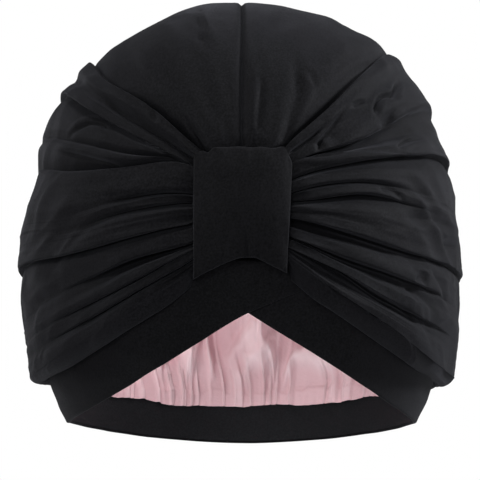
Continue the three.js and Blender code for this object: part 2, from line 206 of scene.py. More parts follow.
# %% [markdown]
# ## Directions that fan out from the knot
#
# All the cloth is pulled together at the knot, so every fold starts there and fans round the head
# towards the nape. The natural way to say where a fold lies is therefore an angle round that fan,
# called turn here, and an angle away from the knot, called away.

# %% The fan
FAN_MIDDLE = np.array([0.0, 0.0, 43.0])
FAN_TILT = math.radians(28.8)
FAN_AHEAD = np.array([0.0, -math.cos(FAN_TILT), math.sin(FAN_TILT)])
FAN_UP = np.array([0.0, math.sin(FAN_TILT), math.cos(FAN_TILT)])
SIDEWAYS = np.array([1.0, 0.0, 0.0])


def fan_direction(side, turn, away):
    """side is -1 for the left panel and 1 for the right."""
    across = side * np.sin(np.radians(turn)) * np.sin(np.radians(away))
    ahead = np.cos(np.radians(away))
    up = np.cos(np.radians(turn)) * np.sin(np.radians(away))
    return across[..., None] * SIDEWAYS + ahead[..., None] * FAN_AHEAD + up[..., None] * FAN_UP


def fan_angles(points):
    """The turn and away of points seen from the fan's middle."""
    d = points - FAN_MIDDLE
    d = d / np.linalg.norm(d, axis=-1, keepdims=True)
    turn = np.degrees(np.arctan2(np.abs(d[..., 0]), d @ FAN_UP))
    away = np.degrees(np.arccos(np.clip(d @ FAN_AHEAD, -1, 1)))
    return turn, away


knot_reach = dome_distance(FAN_MIDDLE, FAN_AHEAD[None])[0]
print("the knot sits", round(float(knot_reach)), "mm from the fan's middle")

# %% [markdown]
# ## Turning a grid of points into cloth
#
# Each piece is a sheet, so a grid of points is all it takes: a quad between every four neighbours.
# A UV map in real millimetres goes with it. It lets the knit keep its size wherever the cloth
# goes. Smooth shading hides the small facets.

# %% From a grid to a mesh
triangle_counts = {}


def cloth_from_grid(name, points, uv, closed_u=False, closed_v=False, flip=False):
    """points is lines x steps x 3, in millimetres."""
    lines, steps = points.shape[:2]
    i = np.arange(lines if closed_u else lines - 1)
    j = np.arange(steps if closed_v else steps - 1)
    i, j = [grid.ravel() for grid in np.meshgrid(i, j, indexing="ij")]
    i2 = (i + 1) % lines
    j2 = (j + 1) % steps
    corners = [i * steps + j, i2 * steps + j, i2 * steps + j2, i * steps + j2]
    if flip:
        corners = corners[::-1]
    quads = np.stack(corners, axis=1)
    mesh = bpy.data.meshes.new(name)
    mesh.from_pydata((points.reshape(-1, 3) * MM).tolist(), [], quads.tolist())
    layer = mesh.uv_layers.new(name="cloth_mm")
    per_corner = uv.reshape(-1, 2)[quads.ravel()]
    layer.data.foreach_set("uv", per_corner.ravel().astype(np.float32))
    mesh.polygons.foreach_set("use_smooth", [True] * len(quads))
    mesh.validate()
    mesh.update()
    piece = bpy.data.objects.new(name, mesh)
    bpy.context.collection.objects.link(piece)
    triangle_counts[name] = 2 * len(quads)
    print(name, "has", 2 * len(quads), "triangles")
    return piece


def lengths_along(points, axis):
    """The running length of the cloth along one direction of a grid."""
    steps = np.linalg.norm(np.diff(points, axis=axis), axis=-1)
    zero = np.zeros_like(np.take(steps, [0], axis=axis))
    return np.concatenate([zero, np.cumsum(steps, axis=axis)], axis=axis)


def flat_uv(points):
    """UVs in tenths of a metre, measured along the cloth itself."""
    u = lengths_along(points, 0).mean(axis=1, keepdims=True)
    v = lengths_along(points, 1)
    return np.stack([np.broadcast_to(u, v.shape), v], axis=-1) / 100


# %% [markdown]
# ## The head band
#
# The band is a folded strip of jersey round the head. Its lower edge is the opening. It dips from
# the front to the nape, leans out over the ears, and its two ends run past each other below the
# knot. The strip's edge is drawn from a short table of heights, and a rounded section is carried
# along it, which gives the soft folded edges that real doubled jersey has.

# %% Where the band runs
OPENING_HALF_WIDTH = 87.0
OPENING_HALF_DEPTH = 98.5
OPENING_BACK = -2.0
BAND_WIDTH = 25.0
BAND_THICKNESS = 2.0
BAND_LAP = 3.0
BAND_TUCK = 1.4
LAP_ENDS = 24.0
LAP_FADES = 14.0
# Columns: angle from the front, height of the lower edge on the left and on the right, and lean
# outwards at the top. The right side rises a little more steeply, so the ends cross off centre.
BAND_EDGE = np.array([
    [-20, 68.0, 73.0, 5],
    [0, 55.2, 57.9, 5],
    [13, 42.9, 46.2, 7],
    [26, 31.3, 34.8, 11],
    [42, 18.7, 21.4, 16],
    [59, 8.6, 9.6, 20],
    [80, 1.0, 1.0, 22],
    [100, -2.0, -2.4, 22],
    [127, -7.9, -8.8, 20],
    [152, -13.4, -13.8, 17],
    [180, -16.3, -16.3, 16],
    [208, -13.4, -13.8, 17],
])


FRONT_EXTRA = 5.0


def band_width(angle):
    """The strip is a little wider at the front, where the knot wrap covers its upper edge."""
    return BAND_WIDTH + FRONT_EXTRA * (1 - smooth(angle, 10, 24))


def unit(vectors):
    return vectors / np.linalg.norm(vectors, axis=-1, keepdims=True)


def dot(a, b):
    return np.sum(a * b, axis=-1, keepdims=True)


def edge_point(side, angle):
    a = np.radians(angle)
    x = side * OPENING_HALF_WIDTH * np.sin(a)
    y = OPENING_BACK - OPENING_HALF_DEPTH * np.cos(a)
    heights = BAND_EDGE[:, 1] if np.all(side < 0) else BAND_EDGE[:, 2]
    return np.stack([x, y, curve_through(BAND_EDGE[:, 0], heights, angle)], axis=-1)


def band_point(side, angle, up, out):
    """A point up the band from its lower edge, and out from its outer face."""
    angle, up, out = np.broadcast_arrays(*[np.asarray(v, float) for v in (angle, up, out)])
    a = np.radians(angle)
    along = unit(edge_point(side, angle + 0.5) - edge_point(side, angle - 0.5))
    x = side * np.sin(a) / OPENING_HALF_WIDTH
    y = -np.cos(a) / OPENING_HALF_DEPTH
    flat = unit(np.stack([x, y, np.zeros_like(x)], axis=-1))
    lean = np.radians(curve_through(BAND_EDGE[:, 0], BAND_EDGE[:, 3], angle))[..., None]
    upward = flat * np.sin(lean) + np.array([0.0, 0.0, 1.0]) * np.cos(lean)
    upward = unit(upward - along * dot(upward, along))
    outward = np.cross(along, upward)
    outward = outward * np.sign(dot(outward, flat))
    lapped = BAND_LAP if side < 0 else -BAND_TUCK
    lapped = lapped * (1 - smooth(angle, LAP_ENDS, LAP_ENDS + LAP_FADES))
    return edge_point(side, angle) + upward * up[..., None] + outward * (out + lapped)[..., None]


# %% The band's section and its length
TAIL_LEFT = -19.0
TAIL_RIGHT = -13.0
TAIL_TAPER = 0.03
BAND_STEPS = 300
FACE_STEPS = 12
ROUND_STEPS = 5


def band_section():
    """Places round the folded strip: share of the width, and depth from the outer face."""
    face = np.linspace(0.04, 0.96, FACE_STEPS)
    around = np.linspace(-90, 90, ROUND_STEPS + 2)[1:-1]
    bulge = 0.04 * np.cos(np.radians(around))
    depth = 0.5 + 0.5 * np.sin(np.radians(around))
    share = np.concatenate([face, 0.96 + bulge, face[::-1], 0.04 - bulge])
    depths = np.concatenate([np.zeros(FACE_STEPS), depth, np.ones(FACE_STEPS), depth[::-1]])
    return share, depths


def band_grid():
    angles = np.concatenate([
        np.linspace(TAIL_RIGHT, 180, BAND_STEPS),
        np.linspace(180, TAIL_LEFT, BAND_STEPS)[1:],
    ])
    sides = np.where(np.arange(len(angles)) < BAND_STEPS, 1.0, -1.0)
    share, depth = band_section()
    rows = []
    for side, angle in zip(sides, angles):
        width = band_width(angle) * (1 + TAIL_TAPER * min(angle, 0))
        middle = 1 - (2 * share - 1) ** 2
        around = angle if side > 0 else 360 - angle
        pull = unevenness(around / 9 + 3 * share, 2.2 * share - around / 40, 11)
        drag = unevenness(around / 5 - 4 * share, 1.6 * share, 12) * smooth(abs(angle), 120, 165)
        soft = middle * (0.45 * pull + 0.8 * drag)
        puff = 0.5 * middle * np.where(depth < 0.5, 1, -0.4)
        ripple = 0.15 * unevenness(np.full(share.shape, around / 7), 0 * share, 13)
        up = share * width + ripple
        rows.append(band_point(side, np.full(share.shape, angle), up, -BAND_THICKNESS * depth + soft + puff))
    return np.stack(rows)


band_points = band_grid()
band_cloth = cloth_from_grid("band_cloth", band_points, flat_uv(band_points), closed_v=True, flip=True)
band_round = float(lengths_along(band_points, 0)[-1].mean())
print("the band's strip is", round(band_round), "mm long")

# %% [markdown]
# ## The crown's folds
#
# The crown's cloth is far wider than the dome and is squeezed into the knot, so it lies in folds:
# sharp, dark creases with round rolls of cloth between them. Near the knot the creases are deep,
# and most of them open out and fade before the side of the head. A cloth simulation could gather
# a sheet like this, but where each crease lands would be left to chance. Here each crest and each
# groove is instead one row of a table, with its turn and its height at six distances from the
# knot, and a section with a steep side at each groove fills in the cloth between the rows.
#
# A groove also has a lean: how many millimetres the roll above it hangs down over it, or, with a
# minus sign, how far the roll below it laps up. That overhang is what makes a crease read as a
# fold and not as a scratch.

# %% Tables of crests and grooves
STATIONS = np.log([10, 16, 26, 42, 66, 105])


def crest(name, turn, rise):
    return {"name": name, "turn": turn, "rise": rise, "groove": False, "keen": 0, "lean": 0}


def groove(name, turn, rise, keen=40, lean=0.0):
    """keen is how far away from the knot the groove starts to soften."""
    return {"name": name, "turn": turn, "rise": rise, "groove": True, "keen": keen, "lean": lean}


LEFT_FOLDS = [
    groove("centre seam", [0, 0, 0, 0, 0, 0], [2, 1, -0.6, -0.6, -0.6, -0.6], keen=20),
    crest("top panel", [9, 9, 9, 9, 9, 9], [2.4, 1.2, 0.3, 0.2, 0.2, 0]),
    crest("drape", [24, 25, 25, 26, 25, 20], [2.4, 1.8, 1, 0.8, 0.6, 0]),
    groove("panel edge", [33, 37.8, 38.4, 39.2, 32.2, 28], [-2, -3.4, -4.2, -3.8, -2.4, -0.3], 70, -1.6),
    crest("swag edge", [35.6, 40.3, 41.8, 41.6, 34.8, 31], [2, 2.8, 3.2, 2.2, 1.2, 0.3]),
    groove("swag valley", [38.6, 44, 46.2, 43.8, 37.6, 33], [-0.6, -0.6, -0.2, -0.4, -0.4, 0], 12, 0),
    crest("thin fold", [40, 45.2, 47.8, 45.6, 39.4, 35], [0.6, 0.8, 1.2, 1.2, 0.8, 0.2]),
    groove("upper crease", [41.2, 47, 49.7, 47.5, 41, 37], [-3, -4, -4.2, -3.4, -2.2, 0], 70, 1.9),
    crest("upper roll", [42, 48.8, 54.4, 53, 48, 42], [1, 1.6, 1.8, 1.6, 1, 0.3]),
    groove("under the ridge", [42.7, 49.9, 58, 57, 51, 45], [-1, -1.4, -0.6, 0, 0, 0.1], 45, 0),
    crest("narrow ridge", [43.3, 50.7, 60.6, 59, 52.5, 46], [1, 1.6, 2.8, 2.2, 1.2, 0.2]),
    groove("overlap", [44, 51.8, 63.4, 65, 58, 50], [-3.4, -4.6, -5, -3.6, -1.2, 0], 56, -2.2),
    crest("upper belly", [58, 64, 72, 72, 66, 56], [2.2, 2.6, 2.4, 1.8, 1.2, 0.3]),
    groove("short crease", [69, 73.4, 78, 79, 70, 59], [-4.4, -4, 0, 1.6, 1, 0.2], 16, 1.8),
    crest("thin roll", [74, 78, 81, 81, 72, 61], [1, 1.6, 1.8, 1.5, 1, 0.2]),
    groove("second crease", [79, 82, 84, 83.5, 74, 63], [-2.6, -2.6, -0.6, 1, 0.9, 0.2], 20, 0.8),
    crest("belly", [88, 89.5, 88.5, 86, 77, 66], [2.4, 2.6, 2.6, 1.8, 1.2, 0.3]),
    crest("belly lip", [97.5, 95, 92.6, 88.8, 79.7, 68], [1.4, 1.8, 2.6, 2.4, 1.6, 0.2]),
    groove("long crease", [101, 98.3, 95.6, 91, 81.6, 70], [-3.4, -4, -4.2, -3.6, -2.6, -0.2], 75, 1.8),
    crest("lower belly", [110, 105.5, 101.5, 97, 89, 79], [1.6, 1.8, 1.8, 1.6, 1, 0.1]),
    groove("first hollow", [124, 114.4, 106, 102, 95, 86], [-3.8, -6.4, -6.4, -1, 0.8, 0], 30, 2.4),
    groove("first hollow, lower side", [126, 117.6, 110, 105, 96.5, 87], [-2, -3, -2.8, 0.8, 0.9, 0], 1, 0),
    crest("low fold", [127.2, 120, 113.4, 108.4, 100, 88.5], [1, 1.8, 2.6, 2.2, 1, 0]),
    groove("second hollow", [128, 121.4, 116.6, 110.4, 102, 90], [-4.2, -5.8, -5, -1.4, 0.4, 0], 28, 1.6),
    crest("low roll", [130.5, 124, 119.3, 113, 104.3, 92], [1.2, 1.8, 2.2, 1.8, 0.8, 0]),
    groove("hem crease", [137, 130, 121.9, 115.4, 106.6, 94], [-2, -3, -3.8, -2.8, -0.6, 0], 36, 1.4),
    crest("hem roll", [141, 134, 125.2, 118.6, 110, 95.5], [0.6, 1.2, 1.8, 1.6, 1, 0]),
    crest("hem end", [149, 150, 151, 151, 151, 151], [0, 0, 0, 0, 0, 0]),
]
RIGHT_FOLDS = [
    groove("centre seam", [0, 0, 0, 0, 0, 0], [2, 1, -0.6, -0.6, -0.6, -0.6], keen=20),
    crest("top panel", [9, 9, 9, 9, 9, 9], [2.4, 1.2, 0.4, 0.3, 0.2, 0]),
    crest("drape", [25, 27, 28, 26, 24, 20], [2.4, 1.8, 1, 0.8, 0.6, 0]),
    groove("panel edge", [35, 36.5, 37.8, 35.2, 31, 28], [-1.4, -2.4, -3, -2.6, -1.8, -0.2], 40, -1.4),
    crest("swag edge", [37.5, 38.8, 40.8, 38.4, 33.6, 31], [2.2, 2.6, 2.6, 2, 1.4, 0.3]),
    crest("upper swag", [41, 43.5, 48, 45, 40, 36], [1.6, 1.8, 1.8, 1.6, 1.2, 0.3]),
    groove("main groove", [43, 47.2, 53.4, 50.8, 45.2, 41], [-3, -4, -3.8, -3, -1.6, 0], 56, 2.2),
    groove("main groove, lower side", [43.6, 48.2, 55.4, 54.2, 48.6, 43],
           [-1.2, -2, -2.4, -2, -0.8, 0], 1, 0),
    crest("long ridge", [44.4, 49.6, 57.4, 58.8, 54, 46.4], [1.2, 1.8, 2.8, 2.8, 2.2, 0.4]),
    groove("ridge shadow", [57, 59.5, 61.4, 60.6, 55.6, 48], [-1.2, -1.8, -2.4, -2.4, -1.6, 0], 64, 1.8),
    crest("upper belly", [62, 64.5, 66.4, 66.2, 61.6, 54], [2, 2.2, 2, 1.6, 1.2, 0.3]),
    groove("short crease", [70, 69.4, 70.2, 71.7, 68, 61], [-2.8, -2.6, -2, 0.4, 1, 0.2], 30, 1),
    crest("thin roll", [73, 72.8, 72.4, 74, 70, 63], [1.2, 1.6, 1.8, 1.4, 1, 0.2]),
    groove("second crease", [77.4, 77.8, 75.2, 76, 72, 65], [-3.4, -3.8, -3, 0, 0.9, 0.2], 30, 1.6),
    crest("belly", [86, 86, 84, 82, 76.5, 68], [2.6, 2.8, 2.8, 2, 1.4, 0.3]),
    crest("belly lip", [91.5, 91.6, 91, 88.4, 80.2, 70], [2, 2.6, 2.8, 2.4, 1.6, 0.2]),
    groove("long crease", [94.8, 94.2, 93.8, 90.6, 82.6, 72], [-4.6, -6, -5.6, -3.8, -2.2, 0], 75, 2),
    groove("first hollow, lower side", [104, 102, 98, 93.4, 84.8, 74],
           [-2.6, -3.2, -1.6, 0.2, 0.4, 0.1], 1, 0),
    crest("lower belly", [109, 106.5, 101.6, 96.5, 89, 80], [1.8, 2, 2.2, 2, 1, 0.1]),
    groove("second hollow", [114, 110.3, 106.4, 100.2, 93, 84], [-4, -6, -6.4, -4.2, 0, 0], 46, 2.4),
    groove("second hollow, lower side", [117.6, 113, 109.2, 102.6, 95, 86],
           [-2.2, -3.4, -3.6, -1.4, 0.3, 0], 1, 0),
    crest("between hollows", [121, 116.6, 112, 107, 99, 89], [1.6, 2, 2.4, 2, 0.8, 0]),
    groove("third hollow", [126, 119.7, 113.6, 109.7, 102, 91], [-3, -3.6, -5, -6, -0.6, 0], 52, 2.2),
    groove("third hollow, lower side", [127.6, 121.6, 115.9, 112, 104, 92.5],
           [-1.4, -1.8, -2.6, -3.2, 0.2, 0], 1, 0),
    crest("lower face", [130.5, 126, 121, 114.6, 107, 94], [1, 1, 1, 1.2, 0.8, 0]),
    crest("hem roll", [134, 129.6, 124.4, 117.2, 110.4, 95.5], [1.8, 2.4, 2.4, 2, 1.2, 0]),
    crest("hem end", [149, 150, 151, 151, 151, 151], [0, 0, 0, 0, 0, 0]),
]
print("left panel has", len(LEFT_FOLDS), "fold lines and the right one has", len(RIGHT_FOLDS))

# %% [markdown]
# ## Small creases between the folds
#
# Between the main folds the cloth has shorter creases of its own, and some run across the others.
# Each is a line of a few places on the dome, and every point of the cloth asks how far it lies
# from that line and on which side. The answer sets how deep the crease is there, how high the soft
# lips beside it are, and how far one lip leans over. They are added on top of the folds, so one
# can be moved or taken out without touching the rest.

# %% Table of small creases
CREASE_STEPS = 20


def crease(side, path, depth, lips=(0.4, 0.2), hang=0.0, ends=(0.2, 0.4), wide=False):
    """path holds (away, turn, half width in mm), from the knot outwards. lips are upper and lower."""
    return {"side": side, "path": path, "depth": depth, "lips": lips, "hang": hang,
            "ends": ends, "wide": wide}


KNOT_END = (0.02, 0.45)
SMALL_CREASES = [
    # Left: the swag, the arc, the wedge beside the knot, and the top panel.
    crease(-1, [(27, 48.2, 2.6), (32, 46.3, 3), (37, 43.8, 3.4), (44, 40.6, 3.4), (54, 37, 3)], 1.1),
    crease(-1, [(12, 45, 0.8), (14, 47.4, 0.9), (17, 50.6, 1.0),
            (22, 52.4, 0.9)], 3.1, (0.3, 0.3), 0, KNOT_END),
    crease(-1, [(23.5, 42.2, 0.8), (26, 40.6, 1), (28, 39.2, 1), (29, 37.4, 0.8)], 2.2, (0.5, 0.5)),
    crease(-1, [(34, 52.4, 1.08), (36.5, 51.2, 1.44), (40, 51.4, 1.62), (44, 53.2, 1.62), (49, 56.4, 1.08)],
           2.2, (1.0, 0.1), 0.6),
    crease(-1, [(27, 63.6, 0.9), (34, 62.4, 1.2), (42, 60.4, 1.3), (52, 58, 1.1)], 2.8, (0.8, 0), 0.6),
    crease(-1, [(12.5, 31.8, 1), (15, 31.2, 1.1), (18, 30.6, 1.2), (22, 30.4, 1.2), (27, 31.4, 1.2)],
           1.5, (0.8, 0.1), 0.4, (0.02, 0.5)),
    crease(-1, [(34, 12.4, 0.8), (40, 10.7, 0.9), (47, 9.6, 0.9), (60, 8.2, 0.8)], 0.7),
    crease(-1, [(30, 33, 2), (38, 32, 2.6), (48, 29, 3), (60, 26, 3)], 1.3),
    crease(-1, [(14, 137, 1), (17, 134, 1.1), (20, 131, 1.2), (25, 127, 1)], 2.2, (0.3, 0.4), 0.4, KNOT_END),
    crease(-1, [(28, 104.5, 2.2), (36, 100, 2.8), (46, 96.5, 3), (56, 92, 2.6)], 0.8),
    crease(-1, [(34, 113, 1.8), (44, 111.4, 2.2), (56, 108, 2.4), (68, 104, 2)], 0.8),
    crease(-1, [(50, 100, 2.4), (58, 96.5, 3), (66, 96, 3), (76, 92, 2.4)], 0.9),
    crease(-1, [(24, 76, 2.2), (32, 74.5, 2.8), (44, 72, 3), (56, 69, 2.6)], 0.6),
    # Right: crumples over the swag.
    crease(1, [(14.5, 39.8, 0.77), (18, 41.6, 1.02), (22, 42.2, 1.19),
            (28, 41.2, 1.1)], 2.4, (0.7, 0.5), 0.3, KNOT_END),
    crease(1, [(18, 48, 0.85), (21, 46, 1.1), (24, 44.4, 1.27), (27, 43, 1.27),
            (31, 41, 0.85)], 3.0, (0.9, 0.2), 0.4),
    crease(1, [(31, 42.2, 0.81), (33, 42.4, 0.99), (36, 43.3, 0.72)], 2.5, (0.6, 0.4)),
    crease(1, [(21, 48.2, 1.8), (26, 46.4, 2.4), (31, 45.3, 2.8), (37, 44.8, 2.4)],
           2.4, (0, 0.3), 0, (0.2, 0.4), True),
    crease(1, [(34, 50.2, 1.8), (40, 48.4, 2.4), (46, 47.4, 2.6), (53, 46.4, 2)],
           2.2, (0.2, 0.2), 0, (0.2, 0.4), True),
    crease(1, [(35, 48, 0.8), (37, 45.2, 1.12), (40, 43.7, 1.04), (43, 44.2, 1.2),
            (46.5, 42.4, 1.28), (52, 40, 0.96)],
           3.4, (0.9, 0.7), 0.3, (0.15, 0.25)),
    crease(1, [(27, 53.2, 0.81), (31, 52.9, 0.99), (36, 51.8, 1.26), (42, 50, 1.53),
            (47, 48.6, 1.62), (53, 47.9, 0.9)],
           3.5, (1.3, 0.3), 0.8, (0.2, 0.25)),
    crease(1, [(35, 50.8, 1.08), (38, 49.6, 1.44), (41, 47.8, 1.08)], 2.9, (0.5, 0.5)),
    crease(1, [(37.5, 59, 0.81), (41, 57.6, 1.08), (45, 56.1, 1.08), (53, 54.6, 0.9)], 2.4, (0.6, 0.5), 0.2),
    crease(1, [(12.5, 43.4, 0.7), (15, 46.8, 0.8), (19, 53, 0.9), (24, 56.4, 0.9), (32, 58.9, 0.9),
               (42, 60, 0.9), (52, 59.9, 0.8)], 1.3, (0, 0.9), -0.5, (0.02, 0.3)),
    crease(1, [(30, 72.8, 1), (34, 73.2, 1.4), (39, 75.8, 1.4)], 2.0, (0.5, 0.4)),
    crease(1, [(15, 31.6, 2), (20, 27, 2.4), (25, 24.4, 2.8), (30, 19.7, 2.6), (38, 13.4, 2.2)],
           1.7, (0.2, 0.8), 0, (0.05, 0.35)),
    crease(1, [(28.5, 28.6, 1.2), (30, 25.4, 1.5), (31.5, 22, 1.2)], 1.2, (0.3, 0.3)),
    crease(1, [(15, 12, 1.4), (19, 10.6, 1.6), (25, 8.2, 1.6),
            (34, 5.8, 1.6)], 1.1, (0.5, 0.2), 0, (0.05, 0.5)),
    crease(1, [(44, 97.4, 1), (47.5, 95.4, 1.5), (50.5, 96.4, 1.2)], 1.8, (0.6, 0.4)),
    crease(1, [(41, 109.4, 1.4), (45, 107.8, 1.8), (49, 107.6, 1.4)], 1.8, (0.7, 0.4)),
    crease(1, [(42, 103, 2), (50, 101.6, 2.6), (60, 101, 2.4)], 1.4),
    crease(1, [(50, 92, 2), (58, 92.4, 2.8), (66, 95, 2.4)], 1.4),
    crease(1, [(56, 80.4, 1.4), (60, 79.4, 1.7), (67, 76.4, 1.4)], 2.0, (0.6, 0.3)),
    crease(1, [(36, 82, 2.4), (44, 79, 3), (54, 76, 3), (62, 74.6, 2.2)], 1.4),
]


def crease_line(side, path):
    """Closely spaced points on the dome along a crease, and its half width at each."""
    rows = np.array(path, float)
    places = np.linspace(0, len(rows) - 1, CREASE_STEPS)
    away, turn, half_width = [curve_through(np.arange(len(rows)), rows[:, k], places) for k in range(3)]
    direction = fan_direction(side, turn, away)
    reach = dome_distance(FAN_MIDDLE, direction)
    return FAN_MIDDLE + direction * reach[:, None], half_width


def nearest_on_line(points, line):
    """For every point: the share of the line at its nearest place, the offset, and the way it runs."""
    step = line[1:] - line[:-1]
    offset = points[:, None] - line[:-1]
    along = np.clip(np.sum(offset * step, axis=-1) / np.sum(step * step, axis=-1), 0, 1)
    gap = offset - step * along[..., None]
    best = np.argmin(np.sum(gap * gap, axis=-1), axis=1)
    rows = np.arange(len(points))
    return (best + along[rows, best]) / len(step), gap[rows, best], step[best]


def crease_relief(side, base, outward):
    """The height and the sideways shift that the small creases give to every point."""
    rise = np.zeros(base.shape[:-1])
    shift = np.zeros(base.shape)
    for row in SMALL_CREASES:
        if row["side"] != side:
            continue
        line, half_width = crease_line(side, row["path"])
        margin = 4.5 * half_width.max()
        near = np.all((base > line.min(axis=0) - margin) & (base < line.max(axis=0) + margin), axis=-1)
        place, gap, along = nearest_on_line(base[near], line)
        distance = np.linalg.norm(gap, axis=-1) + 1e-6
        upper = -side * np.sign(np.sum(np.cross(gap, along) * outward[near], axis=-1))
        half = np.interp(place, np.linspace(0, 1, CREASE_STEPS), half_width)
        across = upper * distance / half
        fade = smooth(place, 0, row["ends"][0]) * (1 - smooth(place, 1 - row["ends"][1], 1))
        hollow = -np.exp(-(np.abs(across) ** (3.0 if row["wide"] else 1.3)))
        lips = row["lips"][0] * np.exp(-((across - 1.9) ** 2))
        lips = lips + row["lips"][1] * np.exp(-((across + 1.9) ** 2))
        rise[near] += fade * (row["depth"] * hollow + lips)
        roll = 1.3 * np.sign(row["hang"])
        hang = abs(row["hang"]) * fade * np.exp(-(((across - roll) / 0.9) ** 2))
        shift[near] -= gap / distance[:, None] * hang[:, None]
    return rise, shift


print(len(SMALL_CREASES), "small creases")

# %% [markdown]
# ## Fold lines over the dome
#
# The crown is drawn as many lines that run from under the knot wrap, over the dome, and down to
# the band. A fold line's place between two rows of the table is fixed all the way along, so the
# lines follow the creases and even a narrow crease stays crisp without a dense mesh everywhere.

# %% The hem of the crown, in fan angles
HEM_ANGLES = np.arange(0, 180.01, 0.5)
HEM = {}
for hem_side in (-1, 1):
    HEM[hem_side] = fan_angles(band_point(hem_side, HEM_ANGLES, BAND_WIDTH, 0.0))


def hem_spots(side, turns):
    """Where fold lines reach the band: the angle round the band, and the distance from the knot."""
    hem_turn, hem_away = HEM[side]
    stations = np.broadcast_to(np.log(hem_away), (len(turns), len(hem_away)))
    past = curve_through(STATIONS, turns, stations) - hem_turn
    reached = past >= 0
    reached[:, 0] = False
    i = np.where(reached.any(axis=1), reached.argmax(axis=1), len(hem_away) - 1)
    rows = np.arange(len(turns))
    a = past[rows, i - 1]
    b = past[rows, i]
    share = np.clip(np.where(b == a, 1, -a / np.where(b == a, 1, b - a)), 0, 1)
    return mix(HEM_ANGLES[i - 1], HEM_ANGLES[i], share), mix(hem_away[i - 1], hem_away[i], share)


# %% How many lines, and where
LINES_PER_FOLD = 13
LINES_PER_FLOOR = 5
HEM_LINES = 84


def fold_places(side, folds):
    """The fold index and the share of the way to the next fold, for every line of the panel."""
    turns = np.array([row["turn"] for row in folds], float)
    before = []
    for i in range(len(folds) - 2):
        floor_of_hollow = folds[i]["groove"] and folds[i + 1]["groove"]
        count = LINES_PER_FLOOR if floor_of_hollow else LINES_PER_FOLD
        before += [(i, k / count) for k in range(count)]
    shares = np.linspace(0, 1, 400)
    last = mix(turns[-2], turns[-1], shares[:, None])
    angles = hem_spots(side, last)[0]
    wanted = np.linspace(angles[0], angles[-1], HEM_LINES)
    by_hem = np.interp(wanted[::-1], angles[::-1], shares[::-1])[::-1]
    after = [(len(folds) - 2, share) for share in by_hem]
    index, share = np.array(before + after).T
    return index.astype(int), share


# %% The section from one fold to the next
CRISP = 3.0
LIP = 6.5
OPEN_SIDE = 1.7


def section(side_index, share, away, folds):
    """Mixes the heights of two neighbouring folds. At a groove, a roll that leans over it stays
    high until its lip, and the side it leans over opens gently."""
    is_groove = np.array([row["groove"] for row in folds])
    keen = np.array([row["keen"] for row in folds], float)
    here = is_groove[side_index][:, None]
    there = is_groove[side_index + 1][:, None]
    lean = np.array([row["lean"] for row in folds], float)
    lap = np.where(here, -lean[side_index][:, None], lean[side_index + 1][:, None])
    power = np.where(lap > 0, LIP, np.where(lap < 0, OPEN_SIDE, CRISP))
    softens = np.where(here, keen[side_index][:, None], keen[side_index + 1][:, None])
    crisp = 1 - smooth(away, softens, 1.9 * softens + 1)
    t = share[:, None] * np.ones_like(away)
    soft = (1 - np.cos(np.pi * t)) / 2
    leaving = 1 - (1 - t) ** power
    arriving = t**power
    steep = np.where(here, leaving, arriving)
    both = here == there
    return np.where(both, soft, mix(soft, steep, crisp)), crisp


print("a lip still has", round(1 - 0.6**LIP, 2), "of its height six tenths of the way to its groove")

# %% [markdown]
# ## Shaping each panel
#
# Now the pieces come together: the turn of each line, the height of each fold, the overhang at the
# grooves, the small creases, fine wrinkles that run along the folds, and a dip under the knot wrap.
# Past the last distance the lines roll under and meet the band, as a gathered hem does.

# %% Heights along the lines
FIRST_RING = 5.0
PINCH = 3.6
PINCH_ENDS = 14.5
STEPS_OUT = 210
BOLDER = 0.3
OVERHANG = 1.25
SEAM_DIP = 1.7


def wrinkles(line, away, arc):
    """Fine wrinkles in millimetres. line counts the folds, so they flow along them."""
    run = np.log(away)
    near = 1 - smooth(away, 12, 50)
    streaks = unevenness(2.6 * line, 2.2 * run, 21) * mix(0.2, 0.34, near)
    threads = unevenness(6.5 * line, 3.4 * run, 22) * mix(0.06, 0.16, near)
    return streaks + threads


def rumples(side, turn, away):
    """Soft dents and faint ridges where worn cloth has been crushed, about a centimetre apart."""
    seed = 25 if side < 0 else 28
    u = turn / 7
    v = away / 17
    u = u + 0.5 * unevenness(0.9 * v + 9, 0.5 * u, seed + 3)
    v = v + 0.4 * unevenness(0.6 * u, 0.8 * v + 5, seed + 4)
    dents = 0.75 * unevenness(u + 0.7 * v, v - 0.25 * u, seed)
    ridges = 0.8 - 2 * np.sqrt(unevenness(0.8 * u - 0.9 * v, 1.1 * v + 0.3 * u, seed + 1) ** 2 + 0.01)
    small = 0.8 - 2 * np.sqrt(unevenness(1.7 * u + 1.9 * v, 2.2 * v - 0.6 * u, seed + 2) ** 2 + 0.02)
    strength = 1.3 if side < 0 else 1.7
    return strength * (dents + 0.45 * ridges + 0.2 * small)


